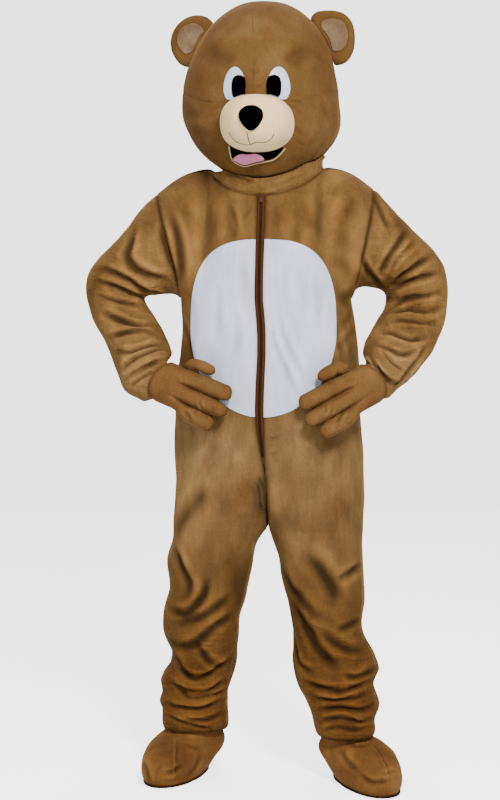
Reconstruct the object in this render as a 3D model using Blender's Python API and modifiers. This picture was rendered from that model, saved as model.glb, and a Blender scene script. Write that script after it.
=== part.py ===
# Bear mascot costume, standing as it hangs on its wearer with the hands on the hips.
# Everything is measured in metres from the floor, and one empty moves the whole
# costume down so that the frame's origin lies in the middle of the shoulder line.
# Front is -Y, the viewer's left is -X.

import math
from collections import namedtuple

import bmesh
import bpy
import numpy as np
from mathutils import Vector

# ---------------------------------------------------------------- driving dimensions
SHOULDER_HEIGHT = 1.43
CLOTH = 0.0022
HEAD_WALL = 0.008
GLOVE_WALL = 0.0022
BOOT_WALL = 0.003
COLLAR_WALL = 0.004
SEAM_GAP = 0.0003
PATCH_CLOTH = 0.0018
PATCH_LIFT = 0.0005

CHEST_HEIGHT = 1.135
ZIP_END_HEIGHT = 0.749
CROTCH_HEIGHT = 0.590
SEAT_CURVE = 0.130
HEM_HEIGHT = 0.105
ZIP_HALF_WIDTH = 0.0085
ZIP_END_HALF_WIDTH = 0.0014
ZIP_RAISE = 0.0020

PANEL_COLUMNS = 8
NECK_COLUMNS = 4
YOKE_ROWS = 7
SLEEVE_STEPS = 22
ELBOW_ROW = 9
ELBOW_GAP = 0.0008
BODY_SQUARENESS = 2.3
LEG_SQUARENESS = 2.15

HEAD_CENTRE = (0.004, 0.0, 1.577)
HEAD_TURN = math.radians(-5.5)
HEAD_HALF_WIDTH = 0.1895
HEAD_FRONT = 0.198
HEAD_BACK = 0.202
HEAD_UP = 0.276
HEAD_DOWN = 0.157
HEAD_UP_POWER = 2.14
HEAD_SIDE_POWER = 1.85
HEAD_CHIN_POWER = 2.35
HEAD_LEAN = 0.0080
LEAN_HEIGHT = 0.060
LEAN_REACH = 0.130

# ---------------------------------------------------------------- tables of sections
TorsoRow = namedtuple("TorsoRow", "height left right front back turn")
TORSO = (
    TorsoRow(1.135, -0.195, 0.216, 0.136, 0.120, -8.0),
    TorsoRow(1.087, -0.192, 0.223, 0.141, 0.113, -8.0),
    TorsoRow(1.030, -0.195, 0.232, 0.146, 0.108, -8.0),
    TorsoRow(0.960, -0.203, 0.235, 0.148, 0.112, -8.0),
    TorsoRow(0.870, -0.209, 0.234, 0.146, 0.130, -8.0),
    TorsoRow(0.800, -0.211, 0.240, 0.141, 0.140, -7.0),
    TorsoRow(0.700, -0.208, 0.246, 0.133, 0.142, -5.0),
    TorsoRow(0.590, -0.213, 0.243, 0.118, 0.128, -3.0),
    TorsoRow(0.460, -0.213, 0.243, 0.118, 0.128, 0.0),
)

LegRow = namedtuple("LegRow", "height inner outer front back depth")
LEFT_LEG = (
    LegRow(0.560, 0.007, 0.214, 0.1165, 0.126, 0.000),
    LegRow(0.536, 0.011, 0.221, 0.1145, 0.120, 0.001),
    LegRow(0.511, 0.021, 0.229, 0.112, 0.115, 0.003),
    LegRow(0.463, 0.028, 0.223, 0.107, 0.108, 0.006),
    LegRow(0.415, 0.040, 0.231, 0.102, 0.100, 0.009),
    LegRow(0.367, 0.055, 0.242, 0.100, 0.097, 0.012),
    LegRow(0.319, 0.057, 0.232, 0.094, 0.098, 0.018),
    LegRow(0.271, 0.058, 0.221, 0.090, 0.100, 0.025),
    LegRow(0.223, 0.073, 0.240, 0.090, 0.094, 0.030),
    LegRow(0.175, 0.081, 0.240, 0.088, 0.090, 0.033),
    LegRow(0.105, 0.079, 0.241, 0.083, 0.085, 0.035),
)
RIGHT_LEG = (
    LegRow(0.560, 0.024, 0.241, 0.1165, 0.126, -0.006),
    LegRow(0.511, 0.038, 0.243, 0.112, 0.115, -0.010),
    LegRow(0.463, 0.048, 0.245, 0.107, 0.108, -0.015),
    LegRow(0.415, 0.060, 0.246, 0.102, 0.100, -0.022),
    LegRow(0.367, 0.070, 0.236, 0.100, 0.097, -0.030),
    LegRow(0.319, 0.074, 0.256, 0.096, 0.098, -0.034),
    LegRow(0.271, 0.073, 0.273, 0.094, 0.100, -0.036),
    LegRow(0.223, 0.083, 0.266, 0.091, 0.094, -0.040),
    LegRow(0.175, 0.106, 0.275, 0.088, 0.090, -0.043),
    LegRow(0.150, 0.117, 0.269, 0.086, 0.088, -0.044),
    LegRow(0.127, 0.121, 0.266, 0.084, 0.086, -0.045),
    LegRow(0.105, 0.128, 0.268, 0.083, 0.085, -0.045),
)

# A fold lies across a limb: its middle's height and angle round the limb (0 outer side,
# 90 front, 180 inner side, -90 back), how far round it reaches, its rise over a quarter
# turn, its half width, and how far it swells out (a crease is negative).
Fold = namedtuple("Fold", "height around reach rise width swell")
LEFT_FOLDS = (
    Fold(0.700, 150, 50, -0.060, 0.020, 0.006),
    Fold(0.545, 150, 70, 0.060, 0.016, -0.009),
    Fold(0.512, 110, 80, -0.035, 0.015, 0.009),
    Fold(0.478, 40, 80, 0.050, 0.014, -0.008),
    Fold(0.430, 120, 90, 0.030, 0.016, -0.010),
    Fold(0.398, 100, 95, 0.045, 0.015, 0.010),
    Fold(0.362, 60, 80, -0.030, 0.014, -0.009),
    Fold(0.330, 120, 90, 0.030, 0.015, 0.009),
    Fold(0.298, 20, 90, 0.040, 0.013, -0.010),
    Fold(0.272, 80, 120, -0.014, 0.012, 0.011),
    Fold(0.247, 110, 100, 0.022, 0.010, -0.011),
    Fold(0.224, 60, 130, 0.012, 0.011, 0.011),
    Fold(0.200, 100, 100, -0.016, 0.009, -0.010),
    Fold(0.178, 40, 130, 0.016, 0.011, 0.010),
    Fold(0.156, 110, 100, -0.012, 0.009, -0.009),
    Fold(0.134, 70, 140, 0.008, 0.010, 0.008),
    Fold(0.113, 90, 120, -0.008, 0.009, -0.005),
    Fold(0.460, -80, 80, 0.030, 0.016, 0.009),
    Fold(0.405, -100, 90, -0.030, 0.015, -0.010),
    Fold(0.350, -80, 90, 0.025, 0.015, 0.009),
    Fold(0.295, -100, 90, 0.020, 0.013, -0.009),
    Fold(0.250, -70, 110, -0.015, 0.012, 0.010),
    Fold(0.212, -100, 110, 0.015, 0.010, -0.009),
    Fold(0.170, -90, 120, -0.010, 0.011, 0.009),
)
RIGHT_FOLDS = (
    Fold(0.690, 150, 50, -0.060, 0.020, 0.006),
    Fold(0.550, 140, 80, -0.060, 0.017, -0.009),
    Fold(0.500, 120, 80, -0.060, 0.016, 0.010),
    Fold(0.455, 100, 90, -0.060, 0.015, -0.010),
    Fold(0.412, 90, 90, -0.050, 0.016, 0.009),
    Fold(0.372, 130, 80, -0.030, 0.014, -0.009),
    Fold(0.340, 60, 80, 0.025, 0.015, -0.008),
    Fold(0.308, 110, 100, -0.030, 0.014, 0.010),
    Fold(0.280, 70, 90, 0.026, 0.012, -0.011),
    Fold(0.254, 30, 120, -0.014, 0.012, 0.011),
    Fold(0.230, 110, 100, -0.020, 0.010, -0.011),
    Fold(0.206, 60, 130, 0.016, 0.011, 0.011),
    Fold(0.182, 100, 100, 0.012, 0.009, -0.010),
    Fold(0.160, 60, 130, -0.010, 0.011, 0.010),
    Fold(0.139, 110, 110, 0.012, 0.009, -0.008),
    Fold(0.119, 60, 140, -0.006, 0.009, 0.006),
    Fold(0.450, -90, 80, -0.030, 0.016, 0.009),
    Fold(0.395, -110, 90, 0.030, 0.015, -0.010),
    Fold(0.345, -80, 90, -0.025, 0.015, 0.009),
    Fold(0.290, -90, 90, -0.020, 0.013, -0.009),
    Fold(0.245, -110, 110, 0.015, 0.012, 0.010),
    Fold(0.205, -80, 110, -0.015, 0.010, -0.009),
    Fold(0.165, -90, 120, 0.010, 0.011, 0.009),
)

# Sleeve sections: where the outer and the inner edge lie beside the body, the depth of
# the middle (front is negative) and half the sleeve's depth there.
SleeveRow = namedtuple("SleeveRow", "outer_x outer_z inner_x inner_z depth thick")
LEFT_SLEEVE = (
    SleeveRow(0.253, 1.392, 0.195, 1.135, 0.005, 0.092),
    SleeveRow(0.293, 1.354, 0.212, 1.148, 0.010, 0.090),
    SleeveRow(0.334, 1.300, 0.236, 1.152, 0.018, 0.086),
    SleeveRow(0.376, 1.254, 0.260, 1.150, 0.028, 0.080),
    SleeveRow(0.406, 1.221, 0.278, 1.144, 0.035, 0.075),
    SleeveRow(0.423, 1.185, 0.284, 1.138, 0.040, 0.072),
    SleeveRow(0.425, 1.150, 0.282, 1.130, 0.038, 0.071),
    SleeveRow(0.415, 1.112, 0.273, 1.116, 0.028, 0.071),
    SleeveRow(0.398, 1.075, 0.259, 1.095, 0.012, 0.070),
    SleeveRow(0.378, 1.037, 0.244, 1.072, -0.010, 0.069),
    SleeveRow(0.357, 0.999, 0.227, 1.045, -0.035, 0.067),
    SleeveRow(0.345, 0.963, 0.215, 1.018, -0.058, 0.064),
    SleeveRow(0.330, 0.929, 0.214, 1.006, -0.078, 0.060),
    SleeveRow(0.296, 0.907, 0.221, 0.996, -0.094, 0.050),
    SleeveRow(0.272, 0.900, 0.224, 0.986, -0.108, 0.037),
    SleeveRow(0.258, 0.902, 0.218, 0.978, -0.112, 0.029),
    SleeveRow(0.234, 0.899, 0.202, 0.968, -0.119, 0.026),
)
RIGHT_SLEEVE = (
    SleeveRow(0.268, 1.401, 0.216, 1.135, -0.005, 0.092),
    SleeveRow(0.303, 1.369, 0.226, 1.158, 0.002, 0.090),
    SleeveRow(0.343, 1.325, 0.246, 1.168, 0.010, 0.086),
    SleeveRow(0.384, 1.283, 0.270, 1.165, 0.022, 0.081),
    SleeveRow(0.420, 1.249, 0.288, 1.160, 0.030, 0.077),
    SleeveRow(0.442, 1.210, 0.296, 1.154, 0.036, 0.074),
    SleeveRow(0.450, 1.163, 0.299, 1.140, 0.036, 0.073),
    SleeveRow(0.447, 1.118, 0.296, 1.119, 0.026, 0.072),
    SleeveRow(0.437, 1.072, 0.284, 1.097, 0.010, 0.071),
    SleeveRow(0.416, 1.030, 0.267, 1.072, -0.014, 0.070),
    SleeveRow(0.393, 0.995, 0.250, 1.046, -0.040, 0.068),
    SleeveRow(0.365, 0.965, 0.239, 1.022, -0.064, 0.064),
    SleeveRow(0.338, 0.940, 0.237, 1.006, -0.090, 0.059),
    SleeveRow(0.311, 0.920, 0.239, 0.996, -0.110, 0.049),
    SleeveRow(0.291, 0.907, 0.241, 0.986, -0.127, 0.037),
    SleeveRow(0.279, 0.903, 0.235, 0.977, -0.132, 0.029),
    SleeveRow(0.254, 0.897, 0.218, 0.966, -0.139, 0.026),
)

# Sleeve folds: "height" is the place along the sleeve (0 armhole, 1 cuff), the angle
# is 0 at the underarm, 90 in front, 180 on the outer side, -90 behind.
LEFT_SLEEVE_FOLDS = (
    Fold(0.20, 60, 80, 0.05, 0.040, 0.0078),
    Fold(0.34, 80, 90, 0.10, 0.030, -0.0117),
    Fold(0.40, 90, 90, 0.12, 0.026, 0.0104),
    Fold(0.47, 70, 90, 0.05, 0.022, -0.0156),
    Fold(0.54, 90, 90, -0.06, 0.028, 0.0091),
    Fold(0.61, 60, 80, -0.08, 0.022, -0.013),
    Fold(0.68, 80, 90, -0.06, 0.024, 0.0104),
    Fold(0.74, 90, 100, -0.05, 0.020, -0.013),
    Fold(0.79, 100, 110, -0.03, 0.018, 0.0117),
    Fold(0.835, 80, 110, 0.03, 0.014, -0.0104),
    Fold(0.88, 120, 130, -0.02, 0.016, 0.0104),
    Fold(0.40, -90, 90, 0.05, 0.030, -0.0117),
    Fold(0.52, -80, 90, 0.04, 0.030, 0.0104),
    Fold(0.64, -90, 90, -0.05, 0.026, -0.0104),
    Fold(0.76, -90, 100, 0.04, 0.022, 0.0104),
)
RIGHT_SLEEVE_FOLDS = (
    Fold(0.18, 60, 80, 0.05, 0.040, 0.0078),
    Fold(0.30, 80, 90, 0.10, 0.030, -0.0104),
    Fold(0.37, 80, 90, 0.12, 0.026, 0.0104),
    Fold(0.44, 70, 90, 0.08, 0.022, -0.0143),
    Fold(0.51, 80, 90, 0.02, 0.024, 0.0117),
    Fold(0.57, 70, 90, -0.06, 0.020, -0.0143),
    Fold(0.63, 90, 90, -0.08, 0.022, 0.0117),
    Fold(0.69, 70, 90, -0.07, 0.020, -0.013),
    Fold(0.75, 90, 100, -0.05, 0.022, 0.0117),
    Fold(0.81, 80, 110, -0.03, 0.018, -0.0117),
    Fold(0.86, 120, 120, -0.02, 0.018, 0.0117),
    Fold(0.38, -90, 90, 0.05, 0.030, -0.0117),
    Fold(0.50, -80, 90, 0.04, 0.030, 0.0104),
    Fold(0.62, -90, 90, -0.05, 0.026, -0.0104),
    Fold(0.74, -90, 100, 0.04, 0.022, 0.0104),
)

SHOULDER_POINT = {-1: (-0.253, 0.015, 1.392), 1: (0.268, -0.008, 1.401)}
LEGS = {-1: LEFT_LEG, 1: RIGHT_LEG}
FOLDS = {-1: LEFT_FOLDS, 1: RIGHT_FOLDS}
SLEEVES = {-1: LEFT_SLEEVE, 1: RIGHT_SLEEVE}
SLEEVE_FOLDS = {-1: LEFT_SLEEVE_FOLDS, 1: RIGHT_SLEEVE_FOLDS}
SIDE_NAME = {-1: "left", 1: "right"}

# Neckline ring, turned with the chest.
SHOULDER_ROUND = 0.0155
NECK_MIDDLE_X = 0.0120
NECK_HALF_WIDTH = 0.137
NECK_FRONT = 0.108
NECK_BACK = 0.100
NECK_TURN = -8.0
NECK_FRONT_HEIGHT = 1.383
NECK_SIDE_HEIGHT = 1.452
NECK_BACK_HEIGHT = 1.416

# Tummy oval, seen from the front.
TUMMY_MIDDLE = (-0.0015, 1.068)
TUMMY_HALF = (0.166, 0.207)
TUMMY_UP_POWER = 2.9
TUMMY_DOWN_POWER = 2.05
TUMMY_SEGMENTS = 10


# ---------------------------------------------------------------- small helpers
def clear_scene():
    for item in list(bpy.data.objects):
        bpy.data.objects.remove(item, do_unlink=True)


def srgb(hex_colour):
    channels = [int(hex_colour[i:i + 2], 16) / 255.0 for i in (0, 2, 4)]
    linear = [c / 12.92 if c <= 0.04045 else ((c + 0.055) / 1.055) ** 2.4 for c in channels]
    return (*linear, 1.0)


def material(name, hex_colour, roughness, metallic=0.0):
    finish = bpy.data.materials.new(name)
    finish.use_nodes = True
    shader = finish.node_tree.nodes["Principled BSDF"]
    shader.inputs["Base Color"].default_value = srgb(hex_colour)
    shader.inputs["Roughness"].default_value = roughness
    shader.inputs["Metallic"].default_value = metallic
    finish.diffuse_color = srgb(hex_colour)
    return finish


def smoothstep(low, high, value):
    share = min(max((value - low) / (high - low), 0.0), 1.0)
    return share * share * (3.0 - 2.0 * share)


def smooth_between(places, values, place):
    """Cubic curve through the values that never overshoots them; places run upwards."""
    if place <= places[0]:
        return values[0]
    if place >= places[-1]:
        return values[-1]
    steps = [places[i + 1] - places[i] for i in range(len(places) - 1)]
    slopes = [(values[i + 1] - values[i]) / steps[i] for i in range(len(steps))]

    def tangent(i):
        if i == 0:
            return slopes[0]
        if i == len(steps):
            return slopes[-1]
        if slopes[i - 1] * slopes[i] <= 0.0:
            return 0.0
        return 2.0 * slopes[i - 1] * slopes[i] / (slopes[i - 1] + slopes[i])

    i = max(k for k in range(len(steps)) if places[k] <= place)
    t = (place - places[i]) / steps[i]
    return ((2 * t ** 3 - 3 * t ** 2 + 1) * values[i]
            + (t ** 3 - 2 * t ** 2 + t) * steps[i] * tangent(i)
            + (3 * t ** 2 - 2 * t ** 3) * values[i + 1]
            + (t ** 3 - t ** 2) * steps[i] * tangent(i + 1))


def column(rows, name, height):
    ordered = sorted(rows, key=lambda row: row.height)
    return smooth_between([row.height for row in ordered],
                          [getattr(row, name) for row in ordered], height)


def power_cos(angle, power):
    value = math.cos(angle)
    return math.copysign(abs(value) ** (2.0 / power), value)


def power_sin(angle, power):
    value = math.sin(angle)
    return math.copysign(abs(value) ** (2.0 / power), value)


def turned(x, y, middle_x, degrees):
    angle = math.radians(degrees)
    dx = x - middle_x
    return (middle_x + dx * math.cos(angle) - y * math.sin(angle),
            dx * math.sin(angle) + y * math.cos(angle))


def unit(vectors):
    lengths = np.linalg.norm(vectors, axis=-1, keepdims=True)
    return vectors / np.maximum(lengths, 1e-12)


def fold_swell(folds, place, around):
    total = 0.0
    for fold in folds:
        away = (around - fold.around + 180.0) % 360.0 - 180.0
        if abs(away) >= fold.reach:
            continue
        fade = math.cos(0.5 * math.pi * away / fold.reach) ** 2
        middle = fold.height + fold.rise * away / 90.0
        total += fold.swell * fade * math.exp(-((place - middle) / fold.width) ** 2)
    return total


# ---------------------------------------------------------------- walls of cloth
def point_key(point):
    return tuple(int(round(value * 1e6)) for value in point)


def cell_normals(grid, closed):
    right = np.roll(grid, -1, axis=1) if closed else grid[:, 1:]
    left = grid if closed else grid[:, :-1]
    first = right[1:] - left[:-1]
    second = left[1:] - right[:-1]
    return unit(np.cross(first, second))


def splits_forward(grid, i, j, k):
    """True if a cell's shorter diagonal runs from its first corner (k is the next column)."""
    first = np.linalg.norm(grid[i, j] - grid[i + 1, k])
    second = np.linalg.norm(grid[i + 1, j] - grid[i, k])
    return first <= second


class Shell:
    """Panels that meet at seams, with one direction of thickness at each seam point."""

    def __init__(self, thickness):
        self.thickness = thickness
        self.grids = {}
        self.sums = {}

    def add(self, name, grid, closed=False, flip=False, gap=SEAM_GAP):
        self.grids[name] = (grid, closed, flip, gap)
        normals = cell_normals(grid, closed)
        if flip:
            normals = -normals
        rows, columns = normals.shape[:2]
        for i in range(rows):
            for j in range(columns):
                for di, dj in ((0, 0), (1, 0), (0, 1), (1, 1)):
                    corner = grid[i + di, (j + dj) % grid.shape[1]]
                    key = point_key(corner)
                    self.sums[key] = self.sums.get(key, np.zeros(3)) + normals[i, j]

    def normals(self, name):
        grid = self.grids[name][0]
        found = [[self.sums[point_key(point)] for point in row] for row in grid]
        return unit(np.array(found))

    def outer(self, name):
        """The outer points with every open edge drawn back by half a seam gap."""
        grid, closed, _, gap = self.grids[name]
        drawn = grid.copy()
        half = gap / 2
        drawn[0] += half * unit(grid[1] - grid[0])
        drawn[-1] += half * unit(grid[-2] - grid[-1])
        if not closed:
            drawn[:, 0] += half * unit(grid[:, 1] - grid[:, 0])
            drawn[:, -1] += half * unit(grid[:, -2] - grid[:, -1])
        return drawn

    def build(self, name, finish, parent, shift=0.0):
        _, closed, flip, _ = self.grids[name]
        outer = self.outer(name) + shift
        inner = outer - self.thickness * self.normals(name)
        return wall(name, outer, inner, closed, flip, finish, parent)


def wall(name, outer, inner, closed, flip, finish, parent):
    """Closed solid between two grids of the same size."""
    rows, columns = outer.shape[:2]
    points = np.concatenate([outer.reshape(-1, 3), inner.reshape(-1, 3)])
    shift = rows * columns

    def at(i, j, side):
        return i * columns + j % columns + side * shift

    triangles = []

    def quad(a, b, c, d, forward=True):
        if forward:
            triangles.extend([(a, b, c), (a, c, d)])
        else:
            triangles.extend([(a, b, d), (b, c, d)])

    spans = columns if closed else columns - 1
    for i in range(rows - 1):
        for j in range(spans):
            forward = splits_forward(outer, i, j, (j + 1) % columns)
            quad(at(i, j, 0), at(i + 1, j, 0), at(i + 1, j + 1, 0), at(i, j + 1, 0), forward)
            quad(at(i, j + 1, 1), at(i + 1, j + 1, 1), at(i + 1, j, 1), at(i, j, 1), not forward)
    for j in range(spans):
        quad(at(0, j, 0), at(0, j + 1, 0), at(0, j + 1, 1), at(0, j, 1))
        quad(at(rows - 1, j + 1, 0), at(rows - 1, j, 0), at(rows - 1, j, 1), at(rows - 1, j + 1, 1))
    if not closed:
        last = columns - 1
        for i in range(rows - 1):
            quad(at(i + 1, 0, 0), at(i, 0, 0), at(i, 0, 1), at(i + 1, 0, 1))
            quad(at(i, last, 0), at(i + 1, last, 0), at(i + 1, last, 1), at(i, last, 1))
    if not flip:
        triangles = [tuple(reversed(triangle)) for triangle in triangles]
    return mesh_object(name, points, triangles, finish, parent)


def mesh_object(name, points, faces, finish, parent):
    mesh = bpy.data.meshes.new(name)
    mesh.from_pydata([tuple(point) for point in points], [], faces)
    work = bmesh.new()
    work.from_mesh(mesh)
    bmesh.ops.remove_doubles(work, verts=work.verts, dist=1e-6)
    bmesh.ops.dissolve_degenerate(work, edges=work.edges, dist=1e-7)
    work.to_mesh(mesh)
    work.free()
    mesh.shade_smooth()
    mesh.set_sharp_from_angle(angle=math.radians(50))
    mesh.materials.append(finish)
    made = bpy.data.objects.new(name, mesh)
    made.parent = parent
    costume.objects.link(made)
    return made


# ---------------------------------------------------------------- body sections
def leg_share(height):
    """0 where the body is one oval, 1 at the crotch, where it parts into two legs."""
    if height >= CROTCH_HEIGHT + SEAT_CURVE:
        return 0.0
    along = 1.0 - (height - CROTCH_HEIGHT) / SEAT_CURVE
    centre_depth = math.sqrt(max(1.0 - along * along, 0.0))
    return (1.0 - centre_depth ** BODY_SQUARENESS) ** (1.0 / BODY_SQUARENESS)


def half_section(side, height):
    """Middle line, ring centre, half width, depth, front, back and squareness of a half."""
    middle = 0.5 * (column(TORSO, "left", height) + column(TORSO, "right", height))
    if height >= CROTCH_HEIGHT:
        half = 0.5 * (column(TORSO, "right", height) - column(TORSO, "left", height))
        share = leg_share(height)
        radius = half / (1.0 + share)
        return (middle, half - radius, radius, 0.0, column(TORSO, "front", height),
                column(TORSO, "back", height), BODY_SQUARENESS)
    top = half_section(side, CROTCH_HEIGHT)
    crotch = LegRow(CROTCH_HEIGHT, side * top[0], side * top[0] + 2 * top[2], top[4], top[5], 0.0)
    rows = LEGS[side] + (crotch,)
    inner = column(rows, "inner", height)
    outer = column(rows, "outer", height)
    blend = smoothstep(CROTCH_HEIGHT - 0.15, CROTCH_HEIGHT, height)
    squareness = LEG_SQUARENESS + (BODY_SQUARENESS - LEG_SQUARENESS) * blend
    return (middle, 0.5 * (inner + outer) - side * middle, 0.5 * (outer - inner),
            column(rows, "depth", height), column(rows, "front", height),
            column(rows, "back", height), squareness)


def zip_half_width(height):
    taper = smoothstep(ZIP_END_HEIGHT, ZIP_END_HEIGHT + 0.10, height)
    return ZIP_END_HALF_WIDTH + (ZIP_HALF_WIDTH - ZIP_END_HALF_WIDTH) * taper


def start_angle(side, height, edge):
    """The angle at which a half's ring reaches its centre seam or its inseam."""
    _, centre, radius, _, _, _, power = half_section(side, height)
    if height <= CROTCH_HEIGHT + 1e-6:
        return math.pi
    ratio = max(-1.0, (edge - centre) / radius)
    value = math.copysign(abs(ratio) ** (power / 2.0), ratio)
    return math.acos(value)


def body_point(side, height, angle):
    middle, centre, radius, depth, front, back, power = half_section(side, height)
    x = centre + radius * power_cos(angle, power)
    if abs(math.sin(angle)) < 1e-9:
        y = 0.0
    else:
        y = -power_sin(angle, power) * (front if angle > 0 else back)
    swell = fold_swell(FOLDS[side], height, math.degrees(angle))
    away = Vector((x - centre, y))
    if swell and away.length > 0.02:
        away *= 1.0 + swell / away.length
        x = centre + away.x
        y = away.y
    x, y = turned(middle + side * x, y + depth, middle, column(TORSO, "turn", height))
    return np.array((x, y, height))


def body_heights():
    upper = list(np.linspace(CHEST_HEIGHT, ZIP_END_HEIGHT, 10))
    seat = [CROTCH_HEIGHT + SEAT_CURVE * (1.0 - math.cos(math.radians(turn)))
            for turn in (90, 72, 54, 36, 18, 0)]
    thigh = list(np.linspace(CROTCH_HEIGHT, 0.310, 9))[1:]
    shin = list(np.linspace(0.310, HEM_HEIGHT, 13))[1:]
    return upper + seat + thigh + shin


def neck_point(side, facing, share):
    """Neckline: facing is 1 in front and -1 behind, share runs from the centre to the side."""
    angle = share * math.pi / 2
    x = side * NECK_HALF_WIDTH * math.sin(angle)
    depth = NECK_FRONT if facing > 0 else NECK_BACK
    y = -facing * depth * math.cos(angle)
    if facing > 0:
        dip = (NECK_SIDE_HEIGHT - NECK_FRONT_HEIGHT) * math.cos(angle) ** 1.4
    else:
        dip = (NECK_SIDE_HEIGHT - NECK_BACK_HEIGHT) * math.cos(angle)
    x, y = turned(NECK_MIDDLE_X + x, y, NECK_MIDDLE_X, NECK_TURN)
    return np.array((x, y, NECK_SIDE_HEIGHT - dip))


def top_point(side, facing, index):
    """Upper edge of a panel: the neckline, then the shoulder seam."""
    if index <= NECK_COLUMNS:
        point = neck_point(side, facing, index / NECK_COLUMNS)
        if index == 0 and facing > 0:
            point[0] += side * ZIP_HALF_WIDTH
        return point
    share = (index - NECK_COLUMNS) / (PANEL_COLUMNS - NECK_COLUMNS)
    start = neck_point(side, facing, 1.0)
    point = start + share * (np.array(SHOULDER_POINT[side]) - start)
    point[2] += SHOULDER_ROUND * math.sin(math.pi * share)
    return point


def panel_grid(side, facing):
    """A front (facing 1) or back (facing -1) panel, from the shoulder to the ankle."""
    rows = []
    chest = [panel_point(side, facing, CHEST_HEIGHT, j) for j in range(PANEL_COLUMNS + 1)]
    for i in range(YOKE_ROWS):
        down = i / YOKE_ROWS
        rows.append([yoke_point(side, facing, j, chest[j], 1.0 - down)
                     for j in range(PANEL_COLUMNS + 1)])
    for height in body_heights():
        rows.append([panel_point(side, facing, height, j) for j in range(PANEL_COLUMNS + 1)])
    return np.array(rows)


def panel_point(side, facing, height, index):
    edge = zip_half_width(height) if facing > 0 and height >= ZIP_END_HEIGHT - 1e-6 else 0.0
    first = start_angle(side, height, edge)
    angle = first * (1.0 - index / PANEL_COLUMNS)
    return body_point(side, height, angle * facing)


def yoke_point(side, facing, index, chest, share):
    """Chest and shoulder: a cubic from the chest line up to the neck or shoulder seam."""
    across = index / PANEL_COLUMNS
    top = top_point(side, facing, index)
    toward_arm = smoothstep(0.35, 1.0, across)
    over_shoulder = smoothstep(0.15, 0.95, across)
    rise = Vector((0.0, -facing * 0.06, 1.0)).lerp(Vector((0.0, -facing, 0.10)), toward_arm)
    arrive = Vector((0.0, facing * 0.40, 0.9)).lerp(Vector((0.0, facing, 0.22)), over_shoulder)
    start_pull = np.array(rise) * (0.27 + 0.11 * toward_arm)
    end_pull = np.array(arrive) * (0.24 + 0.13 * toward_arm)
    t = share
    return ((2 * t ** 3 - 3 * t ** 2 + 1) * chest + (t ** 3 - 2 * t ** 2 + t) * start_pull
            + (3 * t ** 2 - 2 * t ** 3) * top + (t ** 3 - t ** 2) * end_pull)


def zip_grid(left, right, rows):
    """The strip between the two fronts, raised a little along its middle."""
    edges = [left[:rows, 0], right[:rows, 0]]
    middle = 0.5 * (edges[0] + edges[1])
    widths = np.linalg.norm(edges[1] - edges[0], axis=1)
    middle[:, 1] -= ZIP_RAISE * np.minimum(widths / (2.0 * ZIP_HALF_WIDTH), 1.0) ** 2
    return np.stack([edges[0], middle, edges[1]], axis=1)


# ---------------------------------------------------------------- sleeves
def armhole_ring(front, back):
    """Underarm, up the front of the armhole to the shoulder, and down its back."""
    up = [front[YOKE_ROWS - i, -1] for i in range(YOKE_ROWS + 1)]
    down = [back[i, -1] for i in range(1, YOKE_ROWS)]
    return np.array(up + down)


def sleeve_grid(side, ring, steps):
    rows = SLEEVES[side]
    places = [k / (len(rows) - 1) for k in range(len(rows))]
    count = len(ring)
    grid = []

    def formula(place):
        value = {name: smooth_between(places, [getattr(row, name) for row in rows], place)
                 for name in SleeveRow._fields}
        outer = np.array((side * value["outer_x"], value["depth"], value["outer_z"]))
        inner = np.array((side * value["inner_x"], value["depth"], value["inner_z"]))
        centre = 0.5 * (outer + inner)
        reach = 0.5 * (outer - inner)
        points = []
        for j in range(count):
            angle = 2.0 * math.pi * j / count
            swell = fold_swell(SLEEVE_FOLDS[side], place, math.degrees(angle))
            swell *= smoothstep(0.0, 0.15, place)
            away = (-reach * power_cos(angle, 2.2)
                    + np.array((0.0, -value["thick"], 0.0)) * power_sin(angle, 2.2))
            away = away * (1.0 + swell / np.linalg.norm(away))
            points.append(centre + away)
        return np.array(points)

    start = formula(0.0)
    for k in range(steps + 1):
        place = k / steps
        fade = 1.0 - smoothstep(0.0, 0.30, place)
        grid.append(formula(place) + (ring - start) * fade)
    return np.array(grid)


# ---------------------------------------------------------------- head
def head_powers(direction):
    if direction[2] >= 0.0:
        return HEAD_UP, HEAD_UP_POWER
    flat = math.hypot(direction[0], direction[1])
    facing = max(-direction[1] / flat, 0.0) if flat > 1e-9 else 0.0
    return HEAD_DOWN, HEAD_SIDE_POWER + (HEAD_CHIN_POWER - HEAD_SIDE_POWER) * facing ** 2


def head_point(direction, lift=0.0):
    """Head surface in the head's own frame, in a direction from its centre."""
    height, power = head_powers(direction)
    depth = HEAD_FRONT if direction[1] < 0 else HEAD_BACK
    flat = math.hypot(direction[0] / HEAD_HALF_WIDTH, direction[1] / depth)
    size = (abs(direction[2] / height) ** power + flat ** power) ** (-1.0 / power)
    return np.array(direction) * (size + lift / np.linalg.norm(direction))


def head_lean(z):
    """How far the head bulges to the viewer's left at a height."""
    share = min(abs(z - LEAN_HEIGHT) / LEAN_REACH, 1.0)
    return -HEAD_LEAN * (1.0 - share ** 2) ** 2


def leaning(point):
    return point + np.array((head_lean(point[2]), 0.0, 0.0))


def head_direction(side, round_degrees, up_degrees):
    around = math.radians(round_degrees)
    up = math.radians(up_degrees)
    return np.array((side * math.cos(up) * math.sin(around),
                     -math.cos(up) * math.cos(around), math.sin(up)))


def arc(side, start, end, count):
    """Directions along an edge; start and end are (round, up) in degrees."""
    shares = [k / count for k in range(count + 1)]
    return np.array([head_direction(side, start[0] + (end[0] - start[0]) * t,
                                    start[1] + (end[1] - start[1]) * t) for t in shares])


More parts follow.
